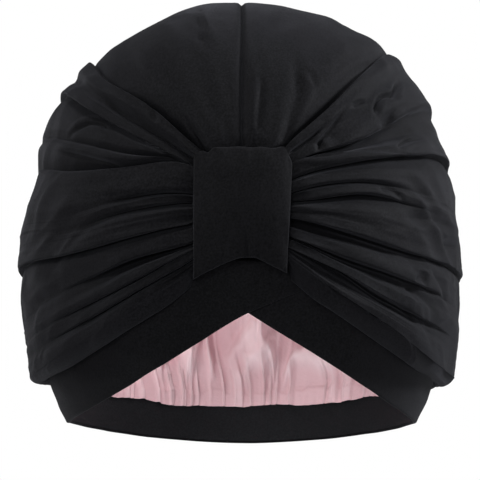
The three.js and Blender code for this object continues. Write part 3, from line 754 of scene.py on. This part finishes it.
def crown_surface(side, folds, index, share, away):
    """Points of the crown for every line and every distance from the knot."""
    turns = np.array([row["turn"] for row in folds], float)
    rises = np.array([row["rise"] for row in folds], float)
    leans = np.array([row["lean"] for row in folds], float)
    run = np.log(away)
    t = share[:, None]
    turn = curve_through(STATIONS, mix(turns[index], turns[index + 1], t), run)
    low = curve_through(STATIONS, rises[index], run)
    high = curve_through(STATIONS, rises[index + 1], run)
    profile, crisp = section(index, share, away, folds)
    bold = 1 + BOLDER * smooth(away, 7, 11) * (1 - smooth(away, 26, 58))
    rise = mix(low, high, profile) * bold
    reach = dome_distance(FAN_MIDDLE, fan_direction(side, turn, away))
    arc = reach * np.sin(np.radians(away)) * math.pi / 180
    above = np.clip(leans[index + 1], 0, None)[:, None] * OVERHANG * 4 * t * (1 - t)
    below = np.clip(leans[index], None, 0)[:, None] * OVERHANG * 4 * t * (1 - t)
    relief = np.clip(np.abs(high - low) / 5, 0, 1)
    hang = (above + below) * relief * smooth(away, 8, 13)
    base = FAN_MIDDLE + fan_direction(side, turn, away) * reach[..., None]
    outward = dome_normal(base)
    small_rise, shift = crease_relief(side, base, outward)
    rise = rise + small_rise + fullness(side, turn, away)
    turn = turn + hang / np.maximum(arc, 0.3)
    line = index[:, None] + t + (100 if side > 0 else 0)
    off_seam = smooth(turn * arc, 0.5, 7)
    crushed = smooth(away, 22, 40) * mix(0.45, 1.0, smooth(turn, 22, 34))
    rise = rise + (wrinkles(line, away, arc) + rumples(side, turn, away) * crushed) * off_seam
    rise = rise - SEAM_DIP * np.exp(-((turn * arc / 1.2) ** 1.4))
    pinch = PINCH * (1 - smooth(away, 8, PINCH_ENDS))
    base = FAN_MIDDLE + fan_direction(side, turn, away) * reach[..., None]
    return base + outward * (rise - pinch)[..., None] + shift


# %% [markdown]
# A worn cap never fills evenly. A last small table makes the left top a little flatter and the
# right shoulder fuller, where the cloth has been pulled more on one side than on the other.

# %% How full each side is
# Columns: turn, and millimetres added on the left and on the right.
FULLNESS = np.array([
    [0, 0.0, 0.0],
    [6, -0.4, -1.2],
    [12, -2.2, -1.6],
    [24, -4.5, -0.8],
    [30, -2.8, 2.2],
    [37, -1.0, -0.4],
    [45, -0.6, 0.8],
    [54, -2.0, -1.4],
    [64, -2.0, -1.8],
    [74, 0.3, -1.6],
    [82, -0.4, -2.5],
    [96, -1.4, -0.8],
    [112, 0.0, 0.0],
])


def fullness(side, turn, away):
    column = 1 if side < 0 else 2
    where = smooth(away, 28, 60) * (1 - smooth(away, 88, 125))
    return curve_through(FULLNESS[:, 0], FULLNESS[:, column], turn) * where


# %% The hem, gathered and rolled under
ROLL_TURNS = 8.5
HEM_GAP = 0.8
HEM_OVERLAP = 0.6
HEM_REACH = {-1: 7.0, 1: 10.0}
ROLL_STEPS = 30
BEHIND_WRAP = 14.5
HEM_PINCH = 3.0
HEM_PROUD = 5.0
GATHER_EVERY = 4.2
GATHER_DEPTH = 1.3


def bezier(a, b, c, d, t):
    return (1 - t) ** 3 * a + 3 * (1 - t) ** 2 * t * b + 3 * (1 - t) * t**2 * c + t**3 * d


def gathers(side, angle):
    """Soft gathers where the crown meets the band, stronger towards the back."""
    seed = 31 if side < 0 else 32
    drift = 1.6 * unevenness(angle / 14, 0 * angle, seed)
    wave = np.cos(2 * np.pi * (angle + drift) / GATHER_EVERY)
    uneven = 0.65 + 0.35 * unevenness(angle / 6, 0 * angle + 5, seed)
    return GATHER_DEPTH * wave * uneven * smooth(angle, 48, 95)


def crown_panel(side, folds):
    index, share = fold_places(side, folds)
    turns = np.array([row["turn"] for row in folds], float)
    line_turns = mix(turns[index], turns[index + 1], share[:, None])
    end_angle, end_away = hem_spots(side, line_turns)
    reach = end_away - FIRST_RING
    roll_away = end_away - np.minimum(ROLL_TURNS, 0.3 * reach)
    steps = (np.arange(STEPS_OUT + 1) / STEPS_OUT) ** 1.25
    away = FIRST_RING + (roll_away - FIRST_RING)[:, None] * steps
    body = crown_surface(side, folds, index, share, away)
    # Next to the front centre the hem passes behind the wrap and the band.
    hidden = 1 - smooth(end_angle, 4.5, 8)
    pinched = (HEM_PINCH * (1 - smooth(end_angle, 14, 36)))[:, None]
    pinched = pinched * smooth(away, 0.4 * end_away[:, None], end_away[:, None])
    back = np.maximum(pinched, (BEHIND_WRAP * hidden)[:, None])
    body = body + np.array([0.0, 1.0, 0.0]) * back[..., None]
    gather = gathers(side, end_angle)
    near_hem = np.exp(-(((end_away[:, None] - away) / 9.0) ** 1.3))
    outward = unit(body - FAN_MIDDLE)
    body = body + outward * (gather[:, None] * near_hem)[..., None]

    lapped = BAND_LAP * (1 - smooth(end_angle, LAP_ENDS - 4, LAP_ENDS + 6)) if side > 0 else 0
    out = HEM_GAP + lapped + 0.25 * gather - (BAND_THICKNESS + BAND_LAP + 1.6 + lapped) * hidden
    seat_up = BAND_WIDTH - HEM_OVERLAP
    seat = band_point(side, end_angle, seat_up, out)
    dip = HEM_REACH[side] * (1 - 0.4 * smooth(end_angle, 50, 80))
    dip = dip * (1 + 0.12 * unevenness(end_angle / 13, 0 * end_angle, 33)) * smooth(end_angle, 2, 17)
    proud = HEM_PROUD * smooth(end_angle, 8, 19)
    below = band_point(side, end_angle, seat_up - dip + 0.6 * gather, out + proud)
    start = body[:, -1]
    leaving = unit(start - body[:, -2])
    length = np.linalg.norm(seat - start, axis=-1, keepdims=True)
    t = (np.arange(1, ROLL_STEPS + 1) / ROLL_STEPS)[None, :, None]
    ahead = start + leaving * 0.8 * length
    roll = bezier(start[:, None], ahead[:, None], below[:, None], seat[:, None], t)
    points = np.concatenate([body, roll], axis=1)
    points[..., 0] = side * np.maximum(side * points[..., 0], 0.05)
    tuck = points[0].copy()
    tuck -= unit(points[0] - FAN_MIDDLE) * 3.0
    tuck[:, 0] = side * -0.5
    points[0, :, 0] = side * 0.05
    return np.concatenate([tuck[None], points])


left_points = crown_panel(-1, LEFT_FOLDS)
right_points = crown_panel(1, RIGHT_FOLDS)
left_crown = cloth_from_grid("left_crown_cloth", left_points, flat_uv(left_points))
right_crown = cloth_from_grid("right_crown_cloth", right_points, flat_uv(right_points), flip=True)


def cloth_area(points):
    """The cloth's area in square metres."""
    a = points[1:, 1:] - points[:-1, :-1]
    b = points[:-1, 1:] - points[1:, :-1]
    return float(np.linalg.norm(np.cross(a, b), axis=-1).sum() / 2 * MM * MM)


print("panels are", round(cloth_area(left_points), 4), "and", round(cloth_area(right_points), 4), "m2")

# %% [markdown]
# ## The knot wrap
#
# The wrap is a short strip of the same jersey, passed round the gathers and tucked under at both
# ends. Its front is almost flat, its side edges are folded under, its top edge is a soft, slightly
# wavy roll, and a few small pleats show where it is drawn in at the bottom. It is drawn as one
# strip that goes from its tucked top end, over the front, to its tucked lower end.

# %% The wrap's path and outline
# Columns: height as a share of the way from the bottom edge to the top, and distance off the dome.
WRAP_PATH = np.array([
    [0.90, 0.8],
    [0.97, 1.8],
    [1.00, 3.0],
    [0.96, 4.4],
    [0.80, 5.8],
    [0.50, 6.6],
    [0.25, 6.1],
    [0.04, 5.6],
    [0.004, 4.8],
    [0.000, 3.4],
    [-0.005, -4.0],
    [-0.01, -12.6],
])
WRAP_COLUMNS = 190
WRAP_STEPS = 170
WRAP_MIDDLE = 0.7
WRAP_HALF_WIDTH = 23.6
# Columns: x from the wrap's middle, and height of its lower and upper edges.
WRAP_EDGES = np.array([
    [-23.6, 72.6, 131.8],
    [-19.0, 75.4, 133.0],
    [-16.5, 76.6, 132.2],
    [-14.0, 77.8, 134.4],
    [-8.0, 80.6, 134.6],
    [-1.5, 82.8, 134.9],
    [5.0, 83.0, 134.4],
    [8.0, 82.2, 134.8],
    [14.0, 79.6, 134.2],
    [19.8, 77.2, 134.6],
    [21.8, 76.4, 130.4],
    [23.6, 75.8, 125.4],
])


def dome_front(x, z):
    start = np.stack([x, np.zeros_like(x), z], axis=-1)
    ahead = np.broadcast_to(np.array([0.0, -1.0, 0.0]), start.shape)
    return -dome_distance(start, ahead)


def wrap_grid():
    across = np.linspace(-1, 1, WRAP_COLUMNS)[:, None]
    path_places = np.linspace(0, 1, len(WRAP_PATH))
    run = np.linspace(0, 1, WRAP_STEPS)
    share = curve_through(path_places, WRAP_PATH[:, 0], run)[None]
    off = curve_through(path_places, WRAP_PATH[:, 1], run)[None]
    flat_x = across * WRAP_HALF_WIDTH
    low = curve_through(WRAP_EDGES[:, 0], WRAP_EDGES[:, 1], flat_x)
    high = curve_through(WRAP_EDGES[:, 0], WRAP_EDGES[:, 2], flat_x)
    z = mix(low, high, share)
    taper = np.where(across > 0, 1 - 0.12 * (1 - share) * np.abs(across), 1.0)
    x = WRAP_MIDDLE + flat_x * taper
    edge = np.abs(across)
    rounded = 1.6 * edge**4 + 7.5 * smooth(edge, 0.965, 1.0) ** 2
    front = smooth(off, 2, 6)
    # A short pleat above the lower edge, and smaller ones beside it.
    above_low = (z - low) / 13
    pleat_line = 2.6 - 0.9 * above_low
    pleat_fade = 1 - smooth(above_low, 0.35, 1.0)
    pleat = 1.1 * np.exp(-np.abs(x - pleat_line) / 0.7) * pleat_fade
    shoulder = 0.45 * np.exp(-(((x - pleat_line - 1.6) / 1.2) ** 2)) * pleat_fade
    ripples = 0.35 * np.cos(2 * np.pi * (x - 4.0) / 2.1) * np.exp(-(((x - 5.0) / 3.6) ** 2))
    ripples = ripples * (1 - smooth(above_low, 0.0, 0.35))
    # Soft puckers below the rolled top edge.
    below_top = (high - z) / 12
    puckers = 0.5 * unevenness(x / 3.1, 0.5 * below_top, 43) * (1 - smooth(below_top, 0.1, 1.0))
    corner = 0.9 * np.exp(-(((x + 13.5 - 4.5 * below_top) / 1.3) ** 2)) * (1 - smooth(below_top, 0.1, 0.6))
    sag = 0.35 * unevenness(2.2 * across + 0 * share, 2.5 * share + 0 * across, 41)
    fine = 0.12 * unevenness(7 * across + share, 5 * share + 0 * across, 42)
    relief = front * (shoulder - pleat + ripples + puckers - corner + sag + fine)
    y = dome_front(x, z) - off - relief + rounded * front
    return np.stack([x, y, z + 0 * y], axis=-1)


wrap_points = wrap_grid()
knot_cloth = cloth_from_grid("knot_cloth", wrap_points, flat_uv(wrap_points))
print("the wrap's strip covers", round(cloth_area(wrap_points) * 1e4, 1), "cm2")

# %% [markdown]
# ## The satin lining
#
# The lining is a thin coated satin bag inside the crown. Its edge is gathered onto the band with
# elastic, so it starts in dozens of tiny pleats that join, a little higher, into larger and softer
# crumples. It shows through the front gap, lit only by what comes in from outside. The same
# gathers are drawn at three sizes that take over from each other with height.

# %% The lining's surface
LINING_LINES = 1100
LINING_NECK = 8
LINING_STEPS = 76
LINING_GAP = 2.4
NECK_GAP = 1.2
LINING_DROP = 6.0
LINING_NECK_UP = 1.5
LINING_MIDDLE = np.array([0.0, 0.0, 60.0])
FRONT_ANGLE = 12.0
CLEAR_LOW = 13.0
CLEAR_HIGH = 9.0


def inside_band(side, angle, up, in_by):
    """A point on the band's inner face, carried straight across under the crossed front ends."""
    place = (np.maximum(angle, FRONT_ANGLE), up, -BAND_THICKNESS - in_by)
    right = band_point(1, *place)
    left = band_point(-1, *place)
    seat = np.where(side[..., None] < 0, left, right)
    share = np.minimum(1, np.sin(np.radians(angle)) / math.sin(math.radians(FRONT_ANGLE)))
    x = seat[..., 0] * np.where(angle < FRONT_ANGLE, share, 1)
    return np.stack([x, seat[..., 1], seat[..., 2]], axis=-1)


def pleats(turn, height, gather):
    """How far the satin stands in from its smooth shape, in millimetres. height is 0 at the band."""
    lean = 3.6 * unevenness(turn / 15, 2.0 * height, 51)
    narrow = np.exp(-(4 * unevenness((turn + lean) / 1.5, 0.9 * height, 52)) ** 2)
    narrow = 2.4 * narrow * (1 - 0.8 * smooth(height, 0.06, 0.4))
    middle = np.exp(-(5 * unevenness((turn + 2 * lean) / 5.2 + height, 1.6 * height, 53)) ** 2)
    middle = 5.0 * middle * smooth(height, 0.02, 0.25)
    large = unevenness((turn + 3 * lean) / 10 - height, 1.4 * height + turn / 30, 54)
    large = 7.0 * large * smooth(height, 0.05, 0.4)
    sharp = np.exp(-(6 * unevenness((turn - lean) / 7 + 3 * height, 2.2 * height, 55)) ** 2)
    sharp = 4.0 * sharp * smooth(height, 0.1, 0.4)
    return (narrow + middle + large + sharp) * gather


def lining_grid():
    turn = np.arange(LINING_LINES) * 360 / LINING_LINES
    side = np.where(turn <= 180, 1.0, -1.0)[:, None]
    angle = np.minimum(turn, 360 - turn)[:, None]
    wrapped = turn[:, None]
    ruffle = 0.35 * unevenness(wrapped / 4, 0 * wrapped, 56)
    ruffle = ruffle + 0.9 * unevenness(wrapped / 12, 0 * wrapped, 57)
    knee = BAND_WIDTH + LINING_NECK_UP + 1.8 * unevenness(wrapped / 2.4, 0 * wrapped, 59)
    edge = np.linspace(1, 0, LINING_NECK)[None]
    up = mix(knee, BAND_WIDTH - LINING_DROP, edge)
    gathered = pleats(wrapped, 0 * up, 1 - 0.5 * edge)
    tiny = 0.6 + 0.3 * unevenness(wrapped / 1.5, 0 * wrapped, 58)
    stand = mix(NECK_GAP, 0.6 + tiny, edge)
    neck = inside_band(side, angle + 0 * up, up + ruffle * edge, stand + gathered)
    base = inside_band(side, angle, knee, NECK_GAP)[:, 0]
    start = base - LINING_MIDDLE
    start_length = np.linalg.norm(start, axis=-1)[:, None]
    lowest = np.arcsin(start[:, 2:3] / start_length)
    heading = np.arctan2(start[:, 0], -start[:, 1])[:, None]
    share = (np.arange(1, LINING_STEPS + 1) / (LINING_STEPS + 1))[None] ** 1.35
    lift = mix(lowest, math.pi / 2, share)
    level = np.cos(lift)
    x = np.sin(heading) * level
    y = -np.cos(heading) * level
    direction = np.stack([x, y, np.sin(lift)], axis=-1)
    clear = mix(CLEAR_LOW, CLEAR_HIGH, smooth(share, 0, 0.5))
    far = dome_distance(LINING_MIDDLE, direction) - clear
    reach = mix(start_length, far, smooth(share, -0.05, 0.3))
    height = 3.2 * share + 0 * wrapped
    folds = pleats(wrapped, height, 1 - smooth(share, 0.72, 1.0))
    inward = LINING_GAP * smooth(share, 0, 0.12) + folds
    body = LINING_MIDDLE + direction * (reach - inward)[..., None]
    return np.concatenate([neck, body], axis=1), np.concatenate([gathered, folds], axis=1)


lining_points, lining_folds = lining_grid()
lining_cloth = cloth_from_grid(
    "lining_cloth", lining_points, flat_uv(lining_points), closed_u=True, flip=True
)

# %% Close the lining's top
def close_top(piece, apex, steps):
    """Joins the last ring of the lining to one point."""
    mesh = piece.data
    rings = len(mesh.vertices) // steps
    verts = [tuple(v.co) for v in mesh.vertices]
    faces = [tuple(p.vertices) for p in mesh.polygons]
    verts.append(tuple(MM * value for value in apex))
    last = [i * steps + steps - 1 for i in range(rings)]
    cap = [(last[i], len(verts) - 1, last[(i + 1) % rings]) for i in range(rings)]
    old_uv = np.zeros(2 * len(mesh.loops), dtype=np.float32)
    mesh.uv_layers[0].data.foreach_get("uv", old_uv)
    whole = bpy.data.meshes.new(mesh.name + "_whole")
    whole.from_pydata(verts, [], faces + cap)
    layer = whole.uv_layers.new(name="cloth_mm")
    new_uv = np.concatenate([old_uv, np.zeros(2 * 3 * rings, dtype=np.float32)])
    layer.data.foreach_set("uv", new_uv)
    whole.polygons.foreach_set("use_smooth", [True] * len(whole.polygons))
    whole.validate()
    whole.update()
    piece.data = whole
    print("closed the lining with", rings, "triangles")


def mark_folds(piece, folds):
    """Stores how high each point of the lining stands, for the satin's painted shade in its hollows to read.
    """
    heights = np.zeros(len(piece.data.vertices), dtype=np.float32)
    heights[: folds.size] = (folds - folds.min()).ravel() / (folds.max() - folds.min())
    stored = piece.data.attributes.new("pleat_height_for_shade", "FLOAT", "POINT")
    stored.data.foreach_set("value", heights)


LINING_APEX = (0.0, 4.0, WIDEST_HEIGHT + RISE - CLEAR_HIGH - 1.2)
close_top(lining_cloth, LINING_APEX, lining_points.shape[1])
mark_folds(lining_cloth, lining_folds)

# %% [markdown]
# ## Black jersey
#
# Worn jersey is a fine rib of tiny loops, matt from the front and with a soft light rim where the
# fibres on its surface catch light at a low angle. The rim comes from the shader's sheen, which was
# made for this. The loops are too small to model, so two crossed waves and some fine noise in the
# bump give the grain, and a slow noise varies the black a little, as dyed cotton does.

# %% Node helpers
def new_finish(name):
    finish = bpy.data.materials.new(name)
    finish.use_nodes = True
    nodes = finish.node_tree.nodes
    shader = nodes["Principled BSDF"]
    return finish, nodes, finish.node_tree.links, shader


def add_node(nodes, kind, **values):
    node = nodes.new(kind)
    for key, value in values.items():
        if key in node.inputs:
            node.inputs[key].default_value = value
        else:
            setattr(node, key, value)
    return node


def colour_ramp(nodes, stops):
    """stops are (place, colour) pairs, with colours as linear red, green and blue."""
    ramp = nodes.new("ShaderNodeValToRGB")
    ramp.color_ramp.elements[0].position = stops[0][0]
    ramp.color_ramp.elements[0].color = (*stops[0][1], 1)
    ramp.color_ramp.elements[1].position = stops[-1][0]
    ramp.color_ramp.elements[1].color = (*stops[-1][1], 1)
    for place, colour in stops[1:-1]:
        stop = ramp.color_ramp.elements.new(place)
        stop.color = (*colour, 1)
    return ramp


# %% The jersey finish
def jersey(name, dark, light, sheen, grain):
    finish, nodes, links, shader = new_finish(name)
    place = add_node(nodes, "ShaderNodeTexCoord")
    cloudy = add_node(nodes, "ShaderNodeTexNoise", Scale=16.0, Detail=3.0, Roughness=0.55)
    links.new(place.outputs["Object"], cloudy.inputs["Vector"])
    # Flecks of lighter and darker yarn, just under a millimetre apart.
    flecks = add_node(nodes, "ShaderNodeTexNoise", Scale=1100.0, Detail=1.0, Roughness=0.5)
    links.new(place.outputs["Object"], flecks.inputs["Vector"])
    mottle = add_node(nodes, "ShaderNodeMath", operation="MULTIPLY_ADD")
    mottle.inputs[1].default_value = 1.8
    links.new(flecks.outputs["Fac"], mottle.inputs[0])
    links.new(cloudy.outputs["Fac"], mottle.inputs[2])
    depth = add_node(nodes, "ShaderNodeMapRange")
    depth.inputs["From Min"].default_value = 1.07
    depth.inputs["From Max"].default_value = 1.73
    links.new(mottle.outputs["Value"], depth.inputs["Value"])
    shade = colour_ramp(nodes, [(0.0, dark), (1.0, light)])
    links.new(depth.outputs["Result"], shade.inputs["Fac"])
    links.new(shade.outputs["Color"], shader.inputs["Base Color"])
    # Knit loops: ribs across and along the cloth, in real millimetres.
    ribs = add_node(nodes, "ShaderNodeTexWave", Scale=70.0, Distortion=1.2, Detail=1.0)
    ribs.inputs["Detail Scale"].default_value = 3.0
    courses = add_node(nodes, "ShaderNodeTexWave", Scale=82.0, Distortion=1.0, Detail=1.0)
    courses.bands_direction = "Y"
    links.new(place.outputs["UV"], ribs.inputs["Vector"])
    links.new(place.outputs["UV"], courses.inputs["Vector"])
    loops = add_node(nodes, "ShaderNodeMath", operation="ADD")
    links.new(ribs.outputs["Fac"], loops.inputs[0])
    links.new(courses.outputs["Fac"], loops.inputs[1])
    fuzz = add_node(nodes, "ShaderNodeTexNoise", Scale=900.0, Detail=2.0, Roughness=0.6)
    links.new(place.outputs["Object"], fuzz.inputs["Vector"])
    knit_bump = add_node(nodes, "ShaderNodeBump", Strength=grain, Distance=0.00025)
    links.new(loops.outputs["Value"], knit_bump.inputs["Height"])
    fuzz_bump = add_node(nodes, "ShaderNodeBump", Strength=grain, Distance=0.0003)
    links.new(fuzz.outputs["Fac"], fuzz_bump.inputs["Height"])
    links.new(knit_bump.outputs["Normal"], fuzz_bump.inputs["Normal"])
    soft = add_node(nodes, "ShaderNodeTexNoise", Scale=150.0, Detail=2.0, Roughness=0.5)
    links.new(place.outputs["Object"], soft.inputs["Vector"])
    soft_bump = add_node(nodes, "ShaderNodeBump", Strength=0.25, Distance=0.0006)
    links.new(soft.outputs["Fac"], soft_bump.inputs["Height"])
    links.new(fuzz_bump.outputs["Normal"], soft_bump.inputs["Normal"])
    links.new(soft_bump.outputs["Normal"], shader.inputs["Normal"])
    worn = add_node(nodes, "ShaderNodeMapRange")
    worn.inputs["To Min"].default_value = 0.62
    worn.inputs["To Max"].default_value = 0.8
    links.new(cloudy.outputs["Fac"], worn.inputs["Value"])
    links.new(worn.outputs["Result"], shader.inputs["Roughness"])
    shader.inputs["Specular IOR Level"].default_value = 0.03
    shader.inputs["Sheen Weight"].default_value = sheen
    shader.inputs["Sheen Roughness"].default_value = 0.45
    shader.inputs["Sheen Tint"].default_value = (0.86, 0.88, 1.0, 1)
    return finish


crown_jersey = jersey("black_crown_jersey", (0.0024, 0.0024, 0.0028), (0.0068, 0.0068, 0.0078), 0.035, 0.15)
wrap_jersey = jersey("black_wrap_jersey", (0.0026, 0.0026, 0.0030), (0.0062, 0.0062, 0.0070), 0.02, 0.15)
band_jersey = jersey("black_band_jersey", (0.0030, 0.0030, 0.0034), (0.0068, 0.0068, 0.0076), 0.02, 0.15)
print("jersey finishes:", crown_jersey.name, wrap_jersey.name, band_jersey.name)

# %% [markdown]
# ## Pink satin
#
# The lining is a thin satin with a waterproof film, so it is smooth and a little glossy, with
# crumples too small for the mesh. Painted shade makes its colour darker and deeper pink in the
# hollows than on the ridges, standing for the light thrown about between the pleats, so the fold
# heights stored with the mesh steer it. A noise adds the crumples as bump, and a very fine wave
# along one direction stands for the weave.

# %% The satin finish
def pink_satin(name):
    finish, nodes, links, shader = new_finish(name)
    place = add_node(nodes, "ShaderNodeTexCoord")
    fold = add_node(nodes, "ShaderNodeAttribute")
    fold.attribute_name = "pleat_height_for_shade"
    # Painted shade: the satin is darker and deeper pink where its pleats lie low, in the hollows.
    shade = colour_ramp(nodes, [(0.08, (0.62, 0.33, 0.37)), (0.5, (0.94, 0.75, 0.77))])
    links.new(fold.outputs["Fac"], shade.inputs["Fac"])
    links.new(shade.outputs["Color"], shader.inputs["Base Color"])
    crumple = add_node(nodes, "ShaderNodeTexNoise", Scale=120.0, Detail=5.0, Roughness=0.55)
    links.new(place.outputs["Object"], crumple.inputs["Vector"])
    crumple_bump = add_node(nodes, "ShaderNodeBump", Strength=0.5, Distance=0.0015)
    links.new(crumple.outputs["Fac"], crumple_bump.inputs["Height"])
    weave = add_node(nodes, "ShaderNodeTexWave", Scale=60.0, Distortion=0.6, Detail=1.0)
    links.new(place.outputs["UV"], weave.inputs["Vector"])
    weave_bump = add_node(nodes, "ShaderNodeBump", Strength=0.15, Distance=0.0001)
    links.new(weave.outputs["Fac"], weave_bump.inputs["Height"])
    links.new(crumple_bump.outputs["Normal"], weave_bump.inputs["Normal"])
    links.new(weave_bump.outputs["Normal"], shader.inputs["Normal"])
    glossy = add_node(nodes, "ShaderNodeMapRange")
    glossy.inputs["To Min"].default_value = 0.32
    glossy.inputs["To Max"].default_value = 0.5
    links.new(crumple.outputs["Fac"], glossy.inputs["Value"])
    links.new(glossy.outputs["Result"], shader.inputs["Roughness"])
    shader.inputs["Specular IOR Level"].default_value = 0.35
    shader.inputs["Sheen Weight"].default_value = 0.15
    shader.inputs["Sheen Roughness"].default_value = 0.4
    return finish


# A copy of the jersey several times lighter and a little bluer, for the band's inner face: painted light for
# what comes in through the opening.
painted_light_inside_jersey = jersey(
    "black_band_inside_painted_light", (0.0108, 0.0115, 0.0126), (0.0176, 0.0186, 0.0202), 0.03, 0.15
)
lining_satin = pink_satin("pink_satin")
print("lining finish:", lining_satin.name)

# %% [markdown]
# ## Putting the pieces in place
#
# The pieces ride on the cap's one body and replace the CAD walls. Each is a sheet of cloth. The
# crown's panels are wider than the dome because their cloth is gathered, and the lining is cut as
# one round piece.

# %% Pieces, finishes and the body
PIECES = [
    (left_crown, "crown_left_panel", "crown_jersey", crown_jersey),
    (right_crown, "crown_right_panel", "crown_jersey", crown_jersey),
    (knot_cloth, "knot_wrap", "wrap_jersey", wrap_jersey),
    (band_cloth, "head_band", "band_jersey", band_jersey),
    (lining_cloth, "lining", "lining_satin", lining_satin),
]
for piece, node, slot_name, finish in PIECES:
    piece.data.materials.append(finish)
    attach(piece, "root")
    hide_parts(node)

# The band's inner face takes the lighter copy: painted light on the inside of the band.
band_cloth.data.materials.append(painted_light_inside_jersey)
inner_start = FACE_STEPS + ROUND_STEPS
around_band = len(band_section()[0])
for face in band_cloth.data.polygons:
    place = face.index % around_band
    if inner_start <= place < inner_start + FACE_STEPS - 1:
        face.material_index = 1

print("declared", len(PIECES), "sheets")

# %% [markdown]
# ## Floor and light
#
# A plain pale floor lies well below the cap, and a white surrounding gives soft light from all
# round, with a large soft lamp at the upper right that brings out the folds. The lining would be
# too dark behind its black shell, so a very small lamp, out of sight inside the crown, rakes
# across its pleats.

# %% Floor
FLOOR_HEIGHT = -260.0
FLOOR_RADIUS = 2600.0

floor_mesh = bpy.data.meshes.new("studio_floor")
ring = [
    (MM * FLOOR_RADIUS * math.cos(a), MM * FLOOR_RADIUS * math.sin(a), MM * FLOOR_HEIGHT)
    for a in np.linspace(0, 2 * math.pi, 96, endpoint=False)
]
floor_mesh.from_pydata(ring, [], [list(range(len(ring)))])
floor = bpy.data.objects.new("studio_floor", floor_mesh)
bpy.context.collection.objects.link(floor)
floor_finish, floor_nodes, floor_links, floor_shader = new_finish("pale_floor")
floor_shader.inputs["Base Color"].default_value = (0.5, 0.5, 0.51, 1)
floor_shader.inputs["Roughness"].default_value = 0.8
floor.data.materials.append(floor_finish)

# %% Lights
# The surroundings, from straight down (0) through level (0.5) to straight up (1).
SKY = [
    (0.0, (0.2, 0.2, 0.2)),
    (0.43, (0.24, 0.24, 0.24)),
    (0.46, (1.0, 1.0, 1.0)),
    (0.54, (1.0, 1.0, 1.0)),
    (0.62, (0.2, 0.2, 0.21)),
    (1.0, (0.18, 0.18, 0.19)),
]

world = bpy.data.worlds.new("white_studio")
world.use_nodes = True
sky_nodes = world.node_tree.nodes
sky_links = world.node_tree.links
sky_place = add_node(sky_nodes, "ShaderNodeTexCoord")
sky_height = add_node(sky_nodes, "ShaderNodeSeparateXYZ")
sky_links.new(sky_place.outputs["Generated"], sky_height.inputs["Vector"])
sky_band = colour_ramp(sky_nodes, SKY)
sky_up = add_node(sky_nodes, "ShaderNodeMapRange")
sky_up.inputs["From Min"].default_value = -1.0
sky_links.new(sky_height.outputs["Z"], sky_up.inputs["Value"])
sky_links.new(sky_up.outputs["Result"], sky_band.inputs["Fac"])
sky_links.new(sky_band.outputs["Color"], sky_nodes["Background"].inputs["Color"])
bpy.context.scene.world = world
bpy.context.scene.view_settings.view_transform = "Standard"


def soft_lamp(name, place, aim, size, power, colour=(1, 1, 1)):
    data = bpy.data.lights.new(name, "AREA")
    data.shape = "DISK"
    data.size = MM * size
    data.energy = power
    data.color = colour
    lamp = bpy.data.objects.new(name, data)
    lamp.location = [MM * value for value in place]
    ahead = np.array(aim, float) - np.array(place, float)
    ahead = ahead / np.linalg.norm(ahead)
    yaw = math.atan2(ahead[0], -ahead[1])
    pitch = math.acos(-ahead[2])
    lamp.rotation_euler = (pitch, 0, yaw + math.pi)
    bpy.context.collection.objects.link(lamp)
    print(name, "gives", power, "W")
    return lamp


soft_lamp("key_lamp", (1480, 90, 880), (0, 0, 90), 350, 48, (0.96, 0.97, 1.0))
soft_lamp("top_lamp", (-80, -220, 1400), (0, 0, 90), 350, 14)
soft_lamp("left_lamp", (-1400, -100, 650), (0, 0, 90), 400, 11)
soft_lamp("inner_lamp", (-66, 22, 80), (30, 95, 20), 14, 0.04)
soft_lamp("front_fill", (-300, -1500, 350), (0, 0, 60), 400, 6.6)

# %% [markdown]
# ## Finish
#
# The number of triangles in all the cloth is printed.

# %% Count the triangles
print("triangles in all:", sum(triangle_counts.values()))
